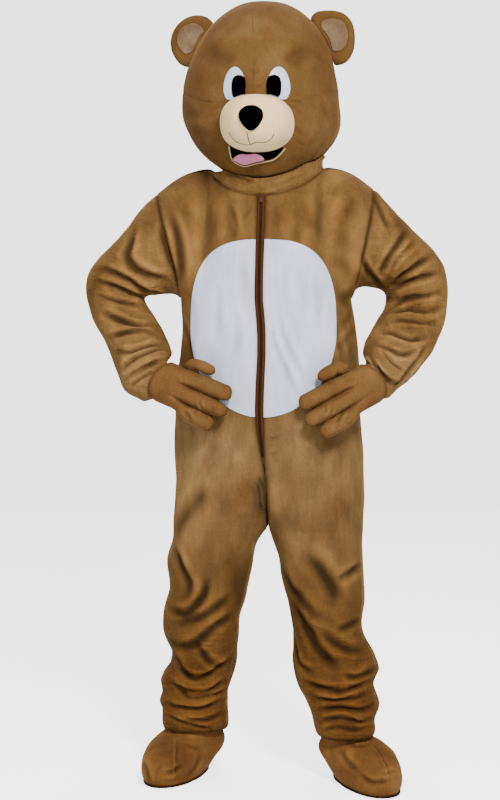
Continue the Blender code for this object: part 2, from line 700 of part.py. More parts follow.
def coons(top, bottom, left, right):
    """Patch of unit directions between four edges; rows run from top to bottom."""
    rows = len(left)
    columns = len(top)
    patch = np.zeros((rows, columns, 3))
    for i in range(rows):
        v = i / (rows - 1)
        for j in range(columns):
            u = j / (columns - 1)
            patch[i, j] = ((1 - v) * top[j] + v * bottom[j] + (1 - u) * left[i] + u * right[i]
                           - (1 - u) * (1 - v) * top[0] - u * (1 - v) * top[-1]
                           - (1 - u) * v * bottom[0] - u * v * bottom[-1])
    return unit(patch)


def head_front(x, z):
    """Depth (negative Y) of the head's front surface at a place seen from the front."""
    low, high = 0.0, 0.30
    x -= head_lean(z)
    for _ in range(40):
        guess = 0.5 * (low + high)
        surface = head_point((x, -guess, z))
        if np.linalg.norm(surface) > math.sqrt(x * x + guess * guess + z * z):
            low = guess
        else:
            high = guess
    return -0.5 * (low + high)


HEAD_CELLS = namedtuple("HeadCells", "low across high")(7, 7, 6)
CHEEK_SEAM = ((0.0, 5.0), (90.0, 18.0))
EAR_SEAM = (104.0, 50.0)
RIM_UP = -56.5


def head_panels(side):
    low, across, high = HEAD_CELLS
    centre_top = arc(side, (0, 90), CHEEK_SEAM[0], high)
    seam = arc(side, *CHEEK_SEAM, across)
    crown_low = arc(side, CHEEK_SEAM[1], EAR_SEAM, high)
    crown_high = arc(side, EAR_SEAM, (90, 90), across)
    centre_low = arc(side, CHEEK_SEAM[0], (0, RIM_UP), low)
    side_low = arc(side, CHEEK_SEAM[1], (90, RIM_UP), low)
    rim_front = arc(side, (0, RIM_UP), (90, RIM_UP), across)
    rim_back = arc(side, (90, RIM_UP), (180, RIM_UP), across + high)
    spine = arc(side, (180, 90), (180, RIM_UP), low)
    crown = np.concatenate([crown_low, crown_high[1:]])
    brow = coons(crown_high[::-1], seam, centre_top, crown_low[::-1])
    cheek = coons(seam, rim_front, centre_low, side_low)
    back = coons(crown, rim_back, side_low, spine)
    return {name: np.array([[leaning(head_point(direction)) for direction in row] for row in patch])
            for name, patch in (("brow", brow), ("cheek", cheek), ("head_back", back))}


# ---------------------------------------------------------------- forms on the face
def surface_place(surface, x, z, lift):
    """Point over a front surface y = surface(x, z), moved out along its normal."""
    step = 0.001
    y = surface(x, z)
    normal = Vector(((surface(x + step, z) - surface(x - step, z)) / (2 * step), -1.0,
                     (surface(x, z + step) - surface(x, z - step)) / (2 * step))).normalized()
    return np.array((x, y, z)) + lift * np.array(normal)


def face_form(name, outline, height_at, finish, parent, rings, segments, base=None,
              lift=SEAM_GAP, forward=False):
    """A stuffed or flat piece lying on the face: rings run from its edge to its middle.

    outline(angle) gives x and z, height_at(share) the thickness over the base surface,
    and base(x, z) the depth of what it lies on. A stuffed piece grows straight forward,
    a flat one along the surface's normal.
    """
    surface = base or head_front

    def place(x, z, thickness):
        if forward:
            return surface_place(surface, x, z, lift) - np.array((0.0, thickness, 0.0))
        return surface_place(surface, x, z, lift + thickness)

    middle = np.mean([outline(2 * math.pi * k / segments) for k in range(segments)], axis=0)
    points = []
    for share, over in [(r, True) for r in rings] + [(r, False) for r in reversed(rings)]:
        for k in range(segments):
            x, z = middle + share * (np.array(outline(2 * math.pi * k / segments)) - middle)
            points.append(place(x, z, height_at(share) if over else 0.0))
    loops = 2 * len(rings)
    faces = []
    front_pole = loops * segments
    back_pole = front_pole + 1
    x, z = middle
    points.append(place(x, z, height_at(0.0)))
    points.append(place(x, z, 0.0))
    for k in range(segments):
        following = (k + 1) % segments
        for loop in range(loops - 1):
            if loop == len(rings) - 1:
                continue
            a, b = loop * segments + k, loop * segments + following
            c, d = a + segments, b + segments
            faces.append((a, b, d, c))
        last_front = (len(rings) - 1) * segments
        first_back = len(rings) * segments
        faces.append((last_front + k, last_front + following, front_pole))
        faces.append((first_back + following, first_back + k, back_pole))
        edge_back = (loops - 1) * segments
        faces.append((edge_back + k, edge_back + following, following, k))
    made = mesh_object(name, points, faces, finish, parent)
    work = bmesh.new()
    work.from_mesh(made.data)
    bmesh.ops.recalc_face_normals(work, faces=work.faces)
    bmesh.ops.triangulate(work, faces=work.faces)
    work.to_mesh(made.data)
    work.free()
    return made


def oval(centre, half, power=2.0, narrow=0.0):
    """Outline of an oval that may narrow towards its top."""
    def outline(angle):
        up = power_sin(angle, power)
        wide = power_cos(angle, power) * (1.0 - narrow * up)
        return (centre[0] + half[0] * wide, centre[1] + half[1] * up)
    return outline


def dome(height, edge, power=2.0):
    return lambda share: edge + (height - edge) * (1.0 - share ** power) ** (1.0 / power)


FORM_LIFT = 0.0009
MUZZLE_MIDDLE = (0.0, -0.036)
MUZZLE_HALF = (0.085, 0.064)
MUZZLE_HEIGHT = 0.088
MUZZLE_POWER = 2.3
MUZZLE_LIFT = 0.0018
NOSE_MIDDLE = (-0.004, -0.034)
NOSE_HALF = (0.027, 0.028)
EYE_MIDDLE = (0.050, 0.052)
EYE_HALF = (0.0255, 0.041)
PUPIL_MIDDLE = (0.039, 0.045)
PUPIL_HALF = (0.016, 0.027)
MouthPoint = namedtuple("MouthPoint", "x z")
MOUTH_EDGE = (
    MouthPoint(-0.0624, -0.0900),
    MouthPoint(-0.0590, -0.1107),
    MouthPoint(-0.0481, -0.1200),
    MouthPoint(-0.0319, -0.1255),
    MouthPoint(-0.0097, -0.1211),
    MouthPoint(0.0129, -0.1170),
    MouthPoint(0.0351, -0.1122),
    MouthPoint(0.0573, -0.0930),
)
MOUTH_CELLS = 2
MOUTH_TOP_GAP = 0.002
TONGUE_MIDDLE = (-0.0215, -0.1140)
TONGUE_HALF = (0.0355, 0.0125)
TONGUE_NOTCH = 0.22
TONGUE_EDGE_GAP = 0.0012
TONGUE_HEIGHT = 0.0065
FELT = 0.0016


def muzzle_share(x, z):
    """0 at the muzzle's middle, 1 at its edge."""
    dx = abs(x - MUZZLE_MIDDLE[0]) / MUZZLE_HALF[0]
    dz = abs(z - MUZZLE_MIDDLE[1]) / MUZZLE_HALF[1]
    return (dx ** MUZZLE_POWER + dz ** MUZZLE_POWER) ** (1.0 / MUZZLE_POWER)


muzzle_height = dome(MUZZLE_HEIGHT, 0.004, 2.4)


def muzzle_front(x, z):
    return head_front(x, z) - MUZZLE_LIFT - muzzle_height(min(muzzle_share(x, z), 1.0))


def muzzle_low(x):
    """Height of the muzzle's lower edge at a place across it."""
    wide = min(abs(x) / MUZZLE_HALF[0], 1.0) ** MUZZLE_POWER
    return MUZZLE_MIDDLE[1] - MUZZLE_HALF[1] * (1.0 - wide) ** (1.0 / MUZZLE_POWER)


def mouth_low(x):
    """Height of the mouth's lower edge; it hangs lower on the viewer's left."""
    return smooth_between([point.x for point in MOUTH_EDGE], [point.z for point in MOUTH_EDGE], x)


def mouth_columns():
    """Places across the mouth: the edge's own points and those halfway between them."""
    places = [point.x for point in MOUTH_EDGE]
    halves = [0.5 * (a + b) for a, b in zip(places, places[1:])]
    return sorted(places + halves)


def nose_outline(angle):
    up = math.sin(angle)
    wide = math.cos(angle) * (1.0 + 0.28 * up) * (1.0 - 0.10 * up * up)
    return (NOSE_MIDDLE[0] + NOSE_HALF[0] * wide, NOSE_MIDDLE[1] + NOSE_HALF[1] * up)


def face_sheet(name, low_at, high_at, lift, finish, parent):
    """A flat felt piece between two curves that run across the face."""
    shell = Shell(FELT)
    rows = []
    for i in range(MOUTH_CELLS + 1):
        share = 1.0 - i / MOUTH_CELLS
        row = []
        for x in mouth_columns():
            z = low_at(x) + (high_at(x) - low_at(x)) * share
            row.append(surface_place(head_front, x, z, lift + FELT))
        rows.append(row)
    shell.add(name, np.array(rows), flip=True)
    return shell.build(name, finish, parent)


def make_face(parent, finish):
    steps = (1.0, 0.93, 0.78, 0.52)
    face_form("muzzle", oval(MUZZLE_MIDDLE, MUZZLE_HALF, MUZZLE_POWER), muzzle_height,
              finish["cream"], parent, steps, 18, lift=MUZZLE_LIFT, forward=True)
    face_form("nose", nose_outline, dome(0.017, 0.002, 2.2), finish["black"], parent,
              (1.0, 0.85, 0.5), 14, base=muzzle_front, lift=FORM_LIFT, forward=True)
    for side in (-1, 1):
        word = SIDE_NAME[side]
        outline = oval((side * EYE_MIDDLE[0], EYE_MIDDLE[1]), EYE_HALF, 2.1, 0.18)

        def white(angle, outline=outline):
            x, z = outline(angle)
            return (x, max(z, muzzle_top_line(x)))

        eye = dome(0.0045, 0.0022)
        face_form("eye_white_" + word, white, eye, finish["white"], parent, (1.0, 0.6), 14,
                  lift=FORM_LIFT)

        def pupil(angle, side=side):
            x, z = oval((side * PUPIL_MIDDLE[0], PUPIL_MIDDLE[1]), PUPIL_HALF, 2.8)(angle)
            return (x, max(z, muzzle_top_line(x) + 0.001))

        face_form("pupil_" + word, pupil, lambda share: 0.0015, finish["black"], parent,
                  (1.0,), 12, lift=FORM_LIFT + 0.0045 + 2 * SEAM_GAP)
    face_sheet("mouth", mouth_low, lambda x: muzzle_low(x) - MOUTH_TOP_GAP, FORM_LIFT,
               finish["black"], parent)

    def tongue(angle):
        notch = TONGUE_NOTCH * math.exp(-(math.cos(angle) / 0.22) ** 2) * (math.sin(angle) > 0)
        x = TONGUE_MIDDLE[0] + TONGUE_HALF[0] * math.cos(angle)
        z = TONGUE_MIDDLE[1] + TONGUE_HALF[1] * math.sin(angle) * (1.0 - notch)
        return (x, max(z, mouth_low(x) + TONGUE_EDGE_GAP))

    face_form("tongue", tongue, dome(TONGUE_HEIGHT, 0.002), finish["pink"], parent, (1.0, 0.6), 16,
              lift=2 * FORM_LIFT + FELT)
    lip_piping(parent, finish["cream"])


def muzzle_top_line(x):
    """Lowest height at which a piece clears the muzzle's upper edge."""
    wide = min(abs(x) / MUZZLE_HALF[0], 1.0) ** MUZZLE_POWER
    return MUZZLE_MIDDLE[1] + MUZZLE_HALF[1] * (1.0 - wide) ** (1.0 / MUZZLE_POWER) + 0.0015


LIP_RADIUS = 0.0024
LIP_CLEAR = 0.0006


def lip_piping(parent, finish):
    curve = bpy.data.curves.new("lip", "CURVE")
    curve.dimensions = "3D"
    curve.bevel_depth = LIP_RADIUS
    curve.bevel_resolution = 1
    curve.use_fill_caps = True
    edge = [np.array((x, mouth_low(x))) for x in mouth_columns()]
    edge.insert(0, edge[0] + np.array((-0.0004, 0.0050)))
    edge.append(edge[-1] + np.array((0.0028, 0.0040)))
    line = curve.splines.new("POLY")
    line.points.add(len(edge) - 1)
    for k, point in enumerate(line.points):
        along = unit(edge[min(k + 1, len(edge) - 1)] - edge[max(k - 1, 0)])
        x, z = edge[k] + (LIP_RADIUS + LIP_CLEAR) * np.array((along[1], -along[0]))
        place = surface_place(head_front, x, z, LIP_RADIUS + FORM_LIFT)
        point.co = (*place, 1.0)
    made = bpy.data.objects.new("lip", curve)
    made.parent = parent
    curve.materials.append(finish)
    costume.objects.link(made)


EarShape = namedtuple("EarShape", "x z half_width half_height power")
EARS = {-1: EarShape(0.163, 0.179, 0.0645, 0.0670, 1.95),
        1: EarShape(0.154, 0.184, 0.0650, 0.0690, 2.40)}
EAR_SHIFT = (0.022, 0.016)
EAR_DEPTH = 0.010
EAR_HALF_THICK = 0.014
EAR_CUP = 0.016
EAR_SEGMENTS = 18
EAR_FRONT_RINGS = (1.0, 0.86, 0.58, 0.34)
EAR_BACK_RINGS = (0.90, 0.60)
EAR_INNER_FROM = 2


def in_head(point, gap=0.0020):
    upright = point - np.array((head_lean(point[2]), 0.0, 0.0))
    return np.linalg.norm(head_point(upright, gap)) > np.linalg.norm(upright)


def ear_middle(side):
    ear = EARS[side]
    return np.array((side * (ear.x + EAR_SHIFT[0]), EAR_DEPTH, ear.z + EAR_SHIFT[1]))


def ear_outline(side, angle):
    """The ear's disc, cut off where it is sewn to the head; angle 0 points away from it."""
    ear = EARS[side]
    middle = ear_middle(side)
    edge = np.array((side * (ear.x + ear.half_width * power_cos(angle, ear.power)), EAR_DEPTH,
                     ear.z + ear.half_height * power_sin(angle, ear.power)))
    low, high = 0.0, 1.0
    if in_head(edge):
        for _ in range(30):
            share = 0.5 * (low + high)
            if in_head(middle + share * (edge - middle)):
                high = share
            else:
                low = share
    return middle + (low if low else high) * (edge - middle)


def ear_point(side, share, angle, front):
    middle = ear_middle(side)
    x, _, z = middle + share * (ear_outline(side, angle) - middle)
    rim = math.sqrt(max(1.0 - share ** 6, 0.0))
    if front:
        y = EAR_DEPTH - EAR_HALF_THICK * rim + EAR_CUP * (1.0 - share ** 2) ** 2
    else:
        y = EAR_DEPTH + (EAR_HALF_THICK + 0.004) * rim
    return np.array((x, y, z))


def make_ear(side, parent, finish):
    loops = [(ring, True) for ring in reversed(EAR_FRONT_RINGS)]
    loops += [(ring, False) for ring in EAR_BACK_RINGS]
    points = []
    faces = []
    count = EAR_SEGMENTS
    for share, front in loops:
        for k in range(count):
            points.append(ear_point(side, share, 2 * math.pi * k / count, front))
    points.append(ear_point(side, 0.0, 0.0, True))
    points.append(ear_point(side, 0.0, 0.0, False))
    front_pole = len(points) - 2
    back_pole = len(points) - 1
    for k in range(count):
        following = (k + 1) % count
        faces.append((following, k, front_pole))
        for loop in range(len(loops) - 1):
            a, b = loop * count + k, loop * count + following
            faces.append((a, b, b + count))
            faces.append((a, b + count, a + count))
        last = (len(loops) - 1) * count
        faces.append((last + k, last + following, back_pole))
    if side > 0:
        faces = [tuple(reversed(face)) for face in faces]
    word = SIDE_NAME[side]
    mesh_object("ear_" + word, points, faces, finish["brown"], parent)
    make_ear_inner(side, parent, finish["cream"])


def make_ear_inner(side, parent, finish):
    """The cream oval: the ear's own inner points, moved out."""
    count = EAR_SEGMENTS
    shares = EAR_FRONT_RINGS[EAR_INNER_FROM:]
    points = []
    faces = []
    for offset in (SEAM_GAP * 2, SEAM_GAP * 2 + 0.003):
        for share in shares:
            for k in range(count):
                point = ear_point(side, share, 2 * math.pi * k / count, True)
                points.append(point - np.array((0.0, offset, 0.0)))
        points.append(ear_point(side, 0.0, 0.0, True) - np.array((0.0, offset, 0.0)))
    layer = len(shares) * count + 1
    pole = len(shares) * count
    for k in range(count):
        following = (k + 1) % count
        for loop in range(len(shares) - 1):
            a, b = loop * count + k, loop * count + following
            c, d = a + count, b + count
            faces.append((a, c, b))
            faces.append((b, c, d))
            faces.append((a + layer, b + layer, c + layer))
            faces.append((b + layer, d + layer, c + layer))
        last = (len(shares) - 1) * count
        faces.append((last + k, pole, last + following))
        faces.append((last + k + layer, last + following + layer, pole + layer))
        faces.append((k, following, following + layer))
        faces.append((k, following + layer, k + layer))
    if side < 0:
        faces = [tuple(reversed(face)) for face in faces]
    mesh_object("ear_inner_" + SIDE_NAME[side], points, faces, finish, parent)


def make_head(parent, finish):
    shell = Shell(HEAD_WALL)
    for side in (-1, 1):
        for name, grid in head_panels(side).items():
            flip = (side > 0)
            shell.add(name + "_" + SIDE_NAME[side], grid, flip=flip)
    for name in shell.grids:
        shell.build(name, finish["brown"], parent)
    for side in (-1, 1):
        make_ear(side, parent, finish)
    make_face(parent, finish)


# ---------------------------------------------------------------- collar
COLLAR_CELLS = 6
COLLAR_FRONT_TALL = 0.036
COLLAR_SIDE_DIP = {-1: 0.021, 1: 0.010}
COLLAR_BACK_DROP = 0.014


def collar_grid(side):
    """Stand collar half: from the zip round to the centre back, leaning on the neckline."""
    rows = []
    heights = (1.0, 0.5, 0.0)
    for share in heights:
        row = []
        for j in range(2 * COLLAR_CELLS + 1):
            around = j / COLLAR_CELLS
            facing = 1 if around <= 1.0 else -1
            base = neck_point(side, facing, around if facing > 0 else 2.0 - around)
            if j == 0:
                base[0] += side * 0.0004
            beside = smoothstep(0.3, 1.0, around) * (1.0 - smoothstep(1.0, 1.7, around))
            behind = smoothstep(1.0, 1.6, around)
            tall = COLLAR_FRONT_TALL - COLLAR_SIDE_DIP[side] * beside - COLLAR_BACK_DROP * behind
            centre = np.array((NECK_MIDDLE_X, 0.0, 0.0))
            out = base - centre
            out[2] = 0.0
            out = out / np.linalg.norm(out)
            lean = 0.004 * math.sin(math.pi * share) + (0.003 + 0.004 * behind) * share
            row.append(base + out * lean + np.array((0.0, 0.0, 0.0012 + share * tall)))
        rows.append(row)
    return np.array(rows)


def make_collar(parent, finish):
    shell = Shell(COLLAR_WALL)
    for side in (-1, 1):
        shell.add("collar_" + SIDE_NAME[side], collar_grid(side), flip=(side > 0))
    for name in shell.grids:
        shell.build(name, finish["brown"], parent)


# ---------------------------------------------------------------- suit
def make_suit(parent, finish):
    shell = Shell(CLOTH)
    fronts = {}
    for side in (-1, 1):
        front = panel_grid(side, 1)
        back = panel_grid(side, -1)
        fronts[side] = front
        shell.add("front_" + SIDE_NAME[side], front, flip=(side > 0))
        shell.add("back_" + SIDE_NAME[side], back, flip=(side < 0))
        sleeve = sleeve_grid(side, armhole_ring(front, back), SLEEVE_STEPS)
        for part, rows in (("upper", sleeve[:ELBOW_ROW + 1]), ("lower", sleeve[ELBOW_ROW:])):
            shell.add(part + "_sleeve_" + SIDE_NAME[side], rows, closed=True, flip=(side > 0),
                      gap=ELBOW_GAP)
    zip_rows = YOKE_ROWS + 10
    shell.add("zip", zip_grid(fronts[-1], fronts[1], zip_rows), flip=True)
    for name in shell.grids:
        shell.build(name, finish["zip"] if name == "zip" else finish["brown"], parent)
    for side in (-1, 1):
        make_tummy(side, shell, parent, finish["white"])
    make_slider(fronts, parent, finish["metal"])


def make_slider(fronts, parent, finish):
    """The closed zip's slider, tucked under the collar's V."""
    centre = 0.5 * (fronts[-1][0, 0] + fronts[1][0, 0])
    lower = 0.5 * (fronts[-1][1, 0] + fronts[1][1, 0])
    along = unit(lower - centre)
    bpy.ops.mesh.primitive_cube_add(size=1.0)
    made = bpy.context.active_object
    made.name = "zip_slider"
    made.data.name = "zip_slider"
    made.scale = (0.008, 0.005, 0.013)
    bpy.ops.object.transform_apply(location=False, rotation=False, scale=True)
    tilt = math.atan2(along[1], -along[2])
    place = centre + along * 0.016
    made.rotation_euler = (tilt, 0.0, 0.0)
    made.location = (place[0], place[1] - 0.0062, place[2])
    bevel = made.modifiers.new("edges", "BEVEL")
    bevel.width = 0.0012
    bevel.segments = 2
    made.data.materials.append(finish)
    made.parent = parent
    for collection in list(made.users_collection):
        collection.objects.unlink(made)
    costume.objects.link(made)


def tummy_outline():
    points = []
    for k in range(2 * TUMMY_SEGMENTS):
        angle = math.pi * (k + 0.5) / TUMMY_SEGMENTS
        power = TUMMY_UP_POWER if math.sin(angle) > 0 else TUMMY_DOWN_POWER
        points.append((TUMMY_MIDDLE[0] + TUMMY_HALF[0] * power_cos(angle, power),
                       TUMMY_MIDDLE[1] + TUMMY_HALF[1] * power_sin(angle, power)))
    return points


def make_tummy(side, shell, parent, finish):
    """Half of the pale oval: the front panel's own facets, trimmed and moved out."""
    grid = shell.outer("front_" + SIDE_NAME[side])
    work = bmesh.new()
    rows, columns = grid.shape[:2]
    lowest = TUMMY_MIDDLE[1] - TUMMY_HALF[1] - 0.05
    highest = TUMMY_MIDDLE[1] + TUMMY_HALF[1] + 0.05
    verts = {}

    def vert(i, j):
        if (i, j) not in verts:
            verts[i, j] = work.verts.new(grid[i, j])
        return verts[i, j]

    for i in range(rows - 1):
        if grid[i, 0, 2] < lowest or grid[i + 1, 0, 2] > highest:
            continue
        for j in range(columns - 1):
            if min(grid[i, j, 2], grid[i + 1, j + 1, 2]) > highest + 0.02:
                continue
            corners = (vert(i, j), vert(i + 1, j), vert(i + 1, j + 1), vert(i, j + 1))
            order = (0, 1, 2, 0, 2, 3) if splits_forward(grid, i, j, j + 1) else (0, 1, 3, 1, 2, 3)
            work.faces.new([corners[k] for k in order[:3]])
            work.faces.new([corners[k] for k in order[3:]])
    outline = tummy_outline()
    for k, (x, z) in enumerate(outline):
        next_x, next_z = outline[(k + 1) % len(outline)]
        outward = Vector((next_z - z, 0.0, x - next_x))
        everything = list(work.verts) + list(work.edges) + list(work.faces)
        bmesh.ops.bisect_plane(work, geom=everything, dist=1e-5, plane_co=(x, 0.0, z),
                               plane_no=outward, clear_outer=True)
    bmesh.ops.remove_doubles(work, verts=work.verts, dist=0.0004)
    bmesh.ops.triangulate(work, faces=work.faces)
    if side < 0:
        bmesh.ops.reverse_faces(work, faces=work.faces)
    work.normal_update()
    for v in work.verts:
        v.co += v.normal * PATCH_LIFT
    mesh = bpy.data.meshes.new("tummy_" + SIDE_NAME[side])
    work.to_mesh(mesh)
    work.free()
    mesh.shade_smooth()
    made = bpy.data.objects.new("tummy_" + SIDE_NAME[side], mesh)
    thick = made.modifiers.new("cloth", "SOLIDIFY")
    thick.thickness = PATCH_CLOTH
    thick.offset = 1.0
    mesh.materials.append(finish)
    made.parent = parent
    costume.objects.link(made)


# ---------------------------------------------------------------- gloves
GloveShape = namedtuple("GloveShape", "cuff tips")
GLOVES = {
    -1: GloveShape((-0.247, -0.112, 0.942), (-0.092, -0.172, 0.877)),
    1: GloveShape((0.268, -0.132, 0.941), (0.108, -0.200, 0.857)),
}
GLOVE_ALONG = (0.0, 0.13, 0.27, 0.41, 0.54, 0.67, 0.80, 0.93, 1.0)
FINGER_CUTS = (-1.0, -0.62, 0.0, 0.62)
FINGER_COUNT = 3
FINGER_LENGTH = (0.93, 1.03, 1.0)
WEB_REACH = 0.84
GLOVE_HALF_WIDTH = 0.058
CUFF_HALF_WIDTH = 0.056
CUFF_LOW_HALF_WIDTH = 0.041
CUFF_HALF_THICK = 0.046
FINGER_HALF_THICK = 0.0175
WEB_HALF_THICK = 0.008
PALM_SHARE = 0.80


def glove_axes(side):
    shape = GLOVES[side]
    along = Vector(shape.tips) - Vector(shape.cuff)
    length = along.length
    along.normalize()
    out = Vector((0.0, -1.0, 0.0))
    across = along.cross(out) * -side
    across.normalize()
    out = along.cross(across) * side
    out.normalize()
    if out.y > 0:
        out.negate()
    if across.z < 0:
        across.negate()
    return Vector(shape.cuff), along, across, out, length


def glove_point(side, share, finger, cut, back):
    """share runs from the cuff to the tips, finger from the little one to the first."""
    origin, along, sideways, out, length = glove_axes(side)
    across = (2.0 * finger + 1.0 + cut) / FINGER_COUNT - 1.0
    reach = FINGER_LENGTH[min(finger, FINGER_COUNT - 1)] * (1.0 - 0.07 * abs(cut) ** 3)
    on_edge = abs(abs(across) - 1.0) < 1e-6
    if cut == -1.0 and not on_edge:
        reach = WEB_REACH
    start = 0.016 * across * across
    distance = start + share * (length * reach - start)
    fingers = smoothstep(0.36, 0.62, share)
    hand = CUFF_HALF_THICK - 0.010 * smoothstep(0.0, 0.5, share)
    hand *= max(1.0 - abs(across) ** 2.4, 0.0) ** 0.5
    ridge = max(1.0 - abs(cut) ** 2.2, 0.0) ** 0.5
    digit = (0.0 if on_edge else WEB_HALF_THICK) + FINGER_HALF_THICK * ridge
    close = max(1.0 - (max(share - 0.74, 0.0) / 0.26) ** 2.4, 0.0) ** 0.5
    height = (hand * (1.0 - fingers) + digit * fingers) * close
    cuff_width = CUFF_HALF_WIDTH if across > 0 else CUFF_LOW_HALF_WIDTH
    width = cuff_width + (GLOVE_HALF_WIDTH - cuff_width) * fingers
    bend = -0.012 * share * share
    if not back:
        height = -height * PALM_SHARE
    place = origin + along * distance + sideways * (across * width) + out * (height + bend)
    return np.array(place)


def glove_grid(side, back):
    columns = [(finger, cut) for finger in range(FINGER_COUNT) for cut in FINGER_CUTS]
    columns.append((FINGER_COUNT, -1.0))
    return np.array([[glove_point(side, share, finger, cut, back) for finger, cut in columns]
                     for share in GLOVE_ALONG])


# Thumb sections: place along the hand, height over the hand's edge, half the section's
# length in the plane of the hand, its lean from lying flat (0) to upright (90), half depth.
ThumbRow = namedtuple("ThumbRow", "along over half lean depth")
THUMB = (
    ThumbRow(0.061, 0.0045, 0.0180, 0.0, 0.0130),
    ThumbRow(0.070, 0.0168, 0.0155, 40.0, 0.0145),
    ThumbRow(0.087, 0.0198, 0.0138, 75.0, 0.0145),
    ThumbRow(0.105, 0.0196, 0.0136, 86.0, 0.0140),
    ThumbRow(0.119, 0.0196, 0.0095, 88.0, 0.0095),
    ThumbRow(0.126, 0.0196, 0.0, 90.0, 0.0),
)
THUMB_SIDES = 8


def thumb_grid(side):
    origin, along, sideways, out, _ = glove_axes(side)
    rows = []
    for row in THUMB:
        centre = origin + along * row.along + sideways * (CUFF_HALF_WIDTH + row.over)
        lean = math.radians(row.lean)
        long_way = sideways * math.sin(lean) - along * math.cos(lean)
        ring = []
        for j in range(THUMB_SIDES):
            angle = 2.0 * math.pi * j / THUMB_SIDES
            ring.append(np.array(centre + out * (row.depth * math.cos(angle))
                                 + long_way * (row.half * math.sin(angle))))
        rows.append(ring)
    return np.array(rows)


def make_gloves(parent, finish):
    for side in (-1, 1):
        word = SIDE_NAME[side]
        shell = Shell(GLOVE_WALL)
        shell.add("glove_back_" + word, glove_grid(side, True), flip=(side > 0))
        shell.add("glove_palm_" + word, glove_grid(side, False), flip=(side < 0))
        apart = np.array(glove_axes(side)[3]) * SEAM_GAP
        shell.build("glove_back_" + word, finish["brown"], parent, apart)
        shell.build("glove_palm_" + word, finish["brown"], parent, -apart)
        thumb = Shell(GLOVE_WALL)
        thumb.add("thumb_" + word, thumb_grid(side), closed=True, flip=True)
        thumb.build("thumb_" + word, finish["brown"], parent)


# ---------------------------------------------------------------- boot covers
BootPlace = namedtuple("BootPlace", "x y turn length ankle_shift ankle_radius")
BOOTS = {-1: BootPlace(-0.195, 0.035, 15.0, 0.187, 0.035, 0.064),
         1: BootPlace(0.235, -0.045, 13.0, 0.199, 0.040, 0.054)}
SOLE_THICK = 0.005
HEEL_LENGTH = 0.098
BALL_HALF_WIDTH = 0.068
BOOT_COLUMNS = 9

# Boot upper: height over the floor, share of the way in to the ankle along the seam at the
# heel and the outer side, on the inner side and at the toe, and how far the cover puffs out.
BootRow = namedtuple("BootRow", "height outer_in inner_in toe_in puff")
UPPER = (
    BootRow(0.130, 1.00, 1.00, 1.00, 0.000),
    BootRow(0.112, 0.94, 1.00, 0.97, 0.000),
    BootRow(0.098, 0.76, 1.02, 0.88, 0.001),
    BootRow(0.086, 0.40, 1.16, 0.70, 0.005),
    BootRow(0.074, 0.16, 1.12, 0.46, 0.010),
    BootRow(0.058, 0.04, 0.90, 0.20, 0.013),
    BootRow(0.039, 0.00, 0.52, 0.05, 0.012),
    BootRow(0.020, 0.00, 0.18, 0.00, 0.008),
    BootRow(SOLE_THICK + 2 * SEAM_GAP, 0.00, 0.00, 0.00, 0.000),
)


def sole_point(side, angle):
    """Sole outline in the boot's own frame: angle 0 at the toe, 180 at the heel."""
    place = BOOTS[side]
    forward = math.cos(angle)
    length = place.length if forward > 0 else HEEL_LENGTH
    x = length * power_cos(angle, 2.3)
    narrowing = 0.80 + 0.20 * smoothstep(-1.0, 0.35, forward)
    return Vector((x, BALL_HALF_WIDTH * narrowing * power_sin(angle, 2.2), 0.0))


def boot_world(side, local):
    """Local x runs to the toe and local y outwards, away from the other foot."""
    place = BOOTS[side]
    turn = math.radians(place.turn)
    toe = Vector((side * math.sin(turn), -math.cos(turn), 0.0))
    outward = Vector((side * math.cos(turn), math.sin(turn), 0.0))
    return np.array(Vector((place.x, place.y, 0.0)) + toe * local[0] + outward * local[1]
                    + Vector((0.0, 0.0, local[2])))


def boot_grid(side, outward):
    place = BOOTS[side]
    back_shift = -place.ankle_shift * math.sin(math.radians(place.turn))
    in_shift = -place.ankle_shift * math.cos(math.radians(place.turn))
    rows = []
    for level in UPPER:
        row = []
        for j in range(BOOT_COLUMNS + 1):
            angle = math.pi * j / BOOT_COLUMNS
            edge = sole_point(side, angle)
            edge.y *= outward
            ankle = Vector((back_shift + place.ankle_radius * math.cos(angle),
                            in_shift + outward * place.ankle_radius * math.sin(angle), 0.0))
            toe = smoothstep(-0.2, 1.0, math.cos(angle))
            share = level.outer_in + (level.toe_in - level.outer_in) * toe
            inner = math.sin(angle) if outward < 0 else 0.0
            share += (level.inner_in - share) * inner
            puff = level.puff * (1.0 - 0.6 * inner)
            point = edge.lerp(ankle, share) + edge.normalized() * puff
            point.z = level.height
            row.append(boot_world(side, point))
        rows.append(row)
    return np.array(rows)


def make_sole(side, parent, finish):
    count = 2 * BOOT_COLUMNS
    points = []
    for z in (0.0, SOLE_THICK):
        for k in range(count):
            local = sole_point(side, 2 * math.pi * k / count)
            local.z = z
            points.append(boot_world(side, local))
    bottom = tuple(range(count))
    top = tuple(range(count, 2 * count))
    faces = [tuple(reversed(bottom)), top]
    for k in range(count):
        following = (k + 1) % count
        faces.append((k, following, following + count, k + count))
    if side < 0:
        faces = [tuple(reversed(face)) for face in faces]
    mesh_object("sole_" + SIDE_NAME[side], points, faces, finish, parent)


def make_boots(parent, finish):
    for side in (-1, 1):
        word = SIDE_NAME[side]
        shell = Shell(BOOT_WALL)
        shell.add("boot_outer_" + word, boot_grid(side, 1), flip=(side > 0))
        shell.add("boot_inner_" + word, boot_grid(side, -1), flip=(side < 0))
        for name in shell.grids:
            shell.build(name, finish["brown"], parent)
        make_sole(side, parent, finish["sole"])


# ---------------------------------------------------------------- the whole costume
clear_scene()
costume = bpy.data.collections.new("bear_mascot_costume")
bpy.context.scene.collection.children.link(costume)

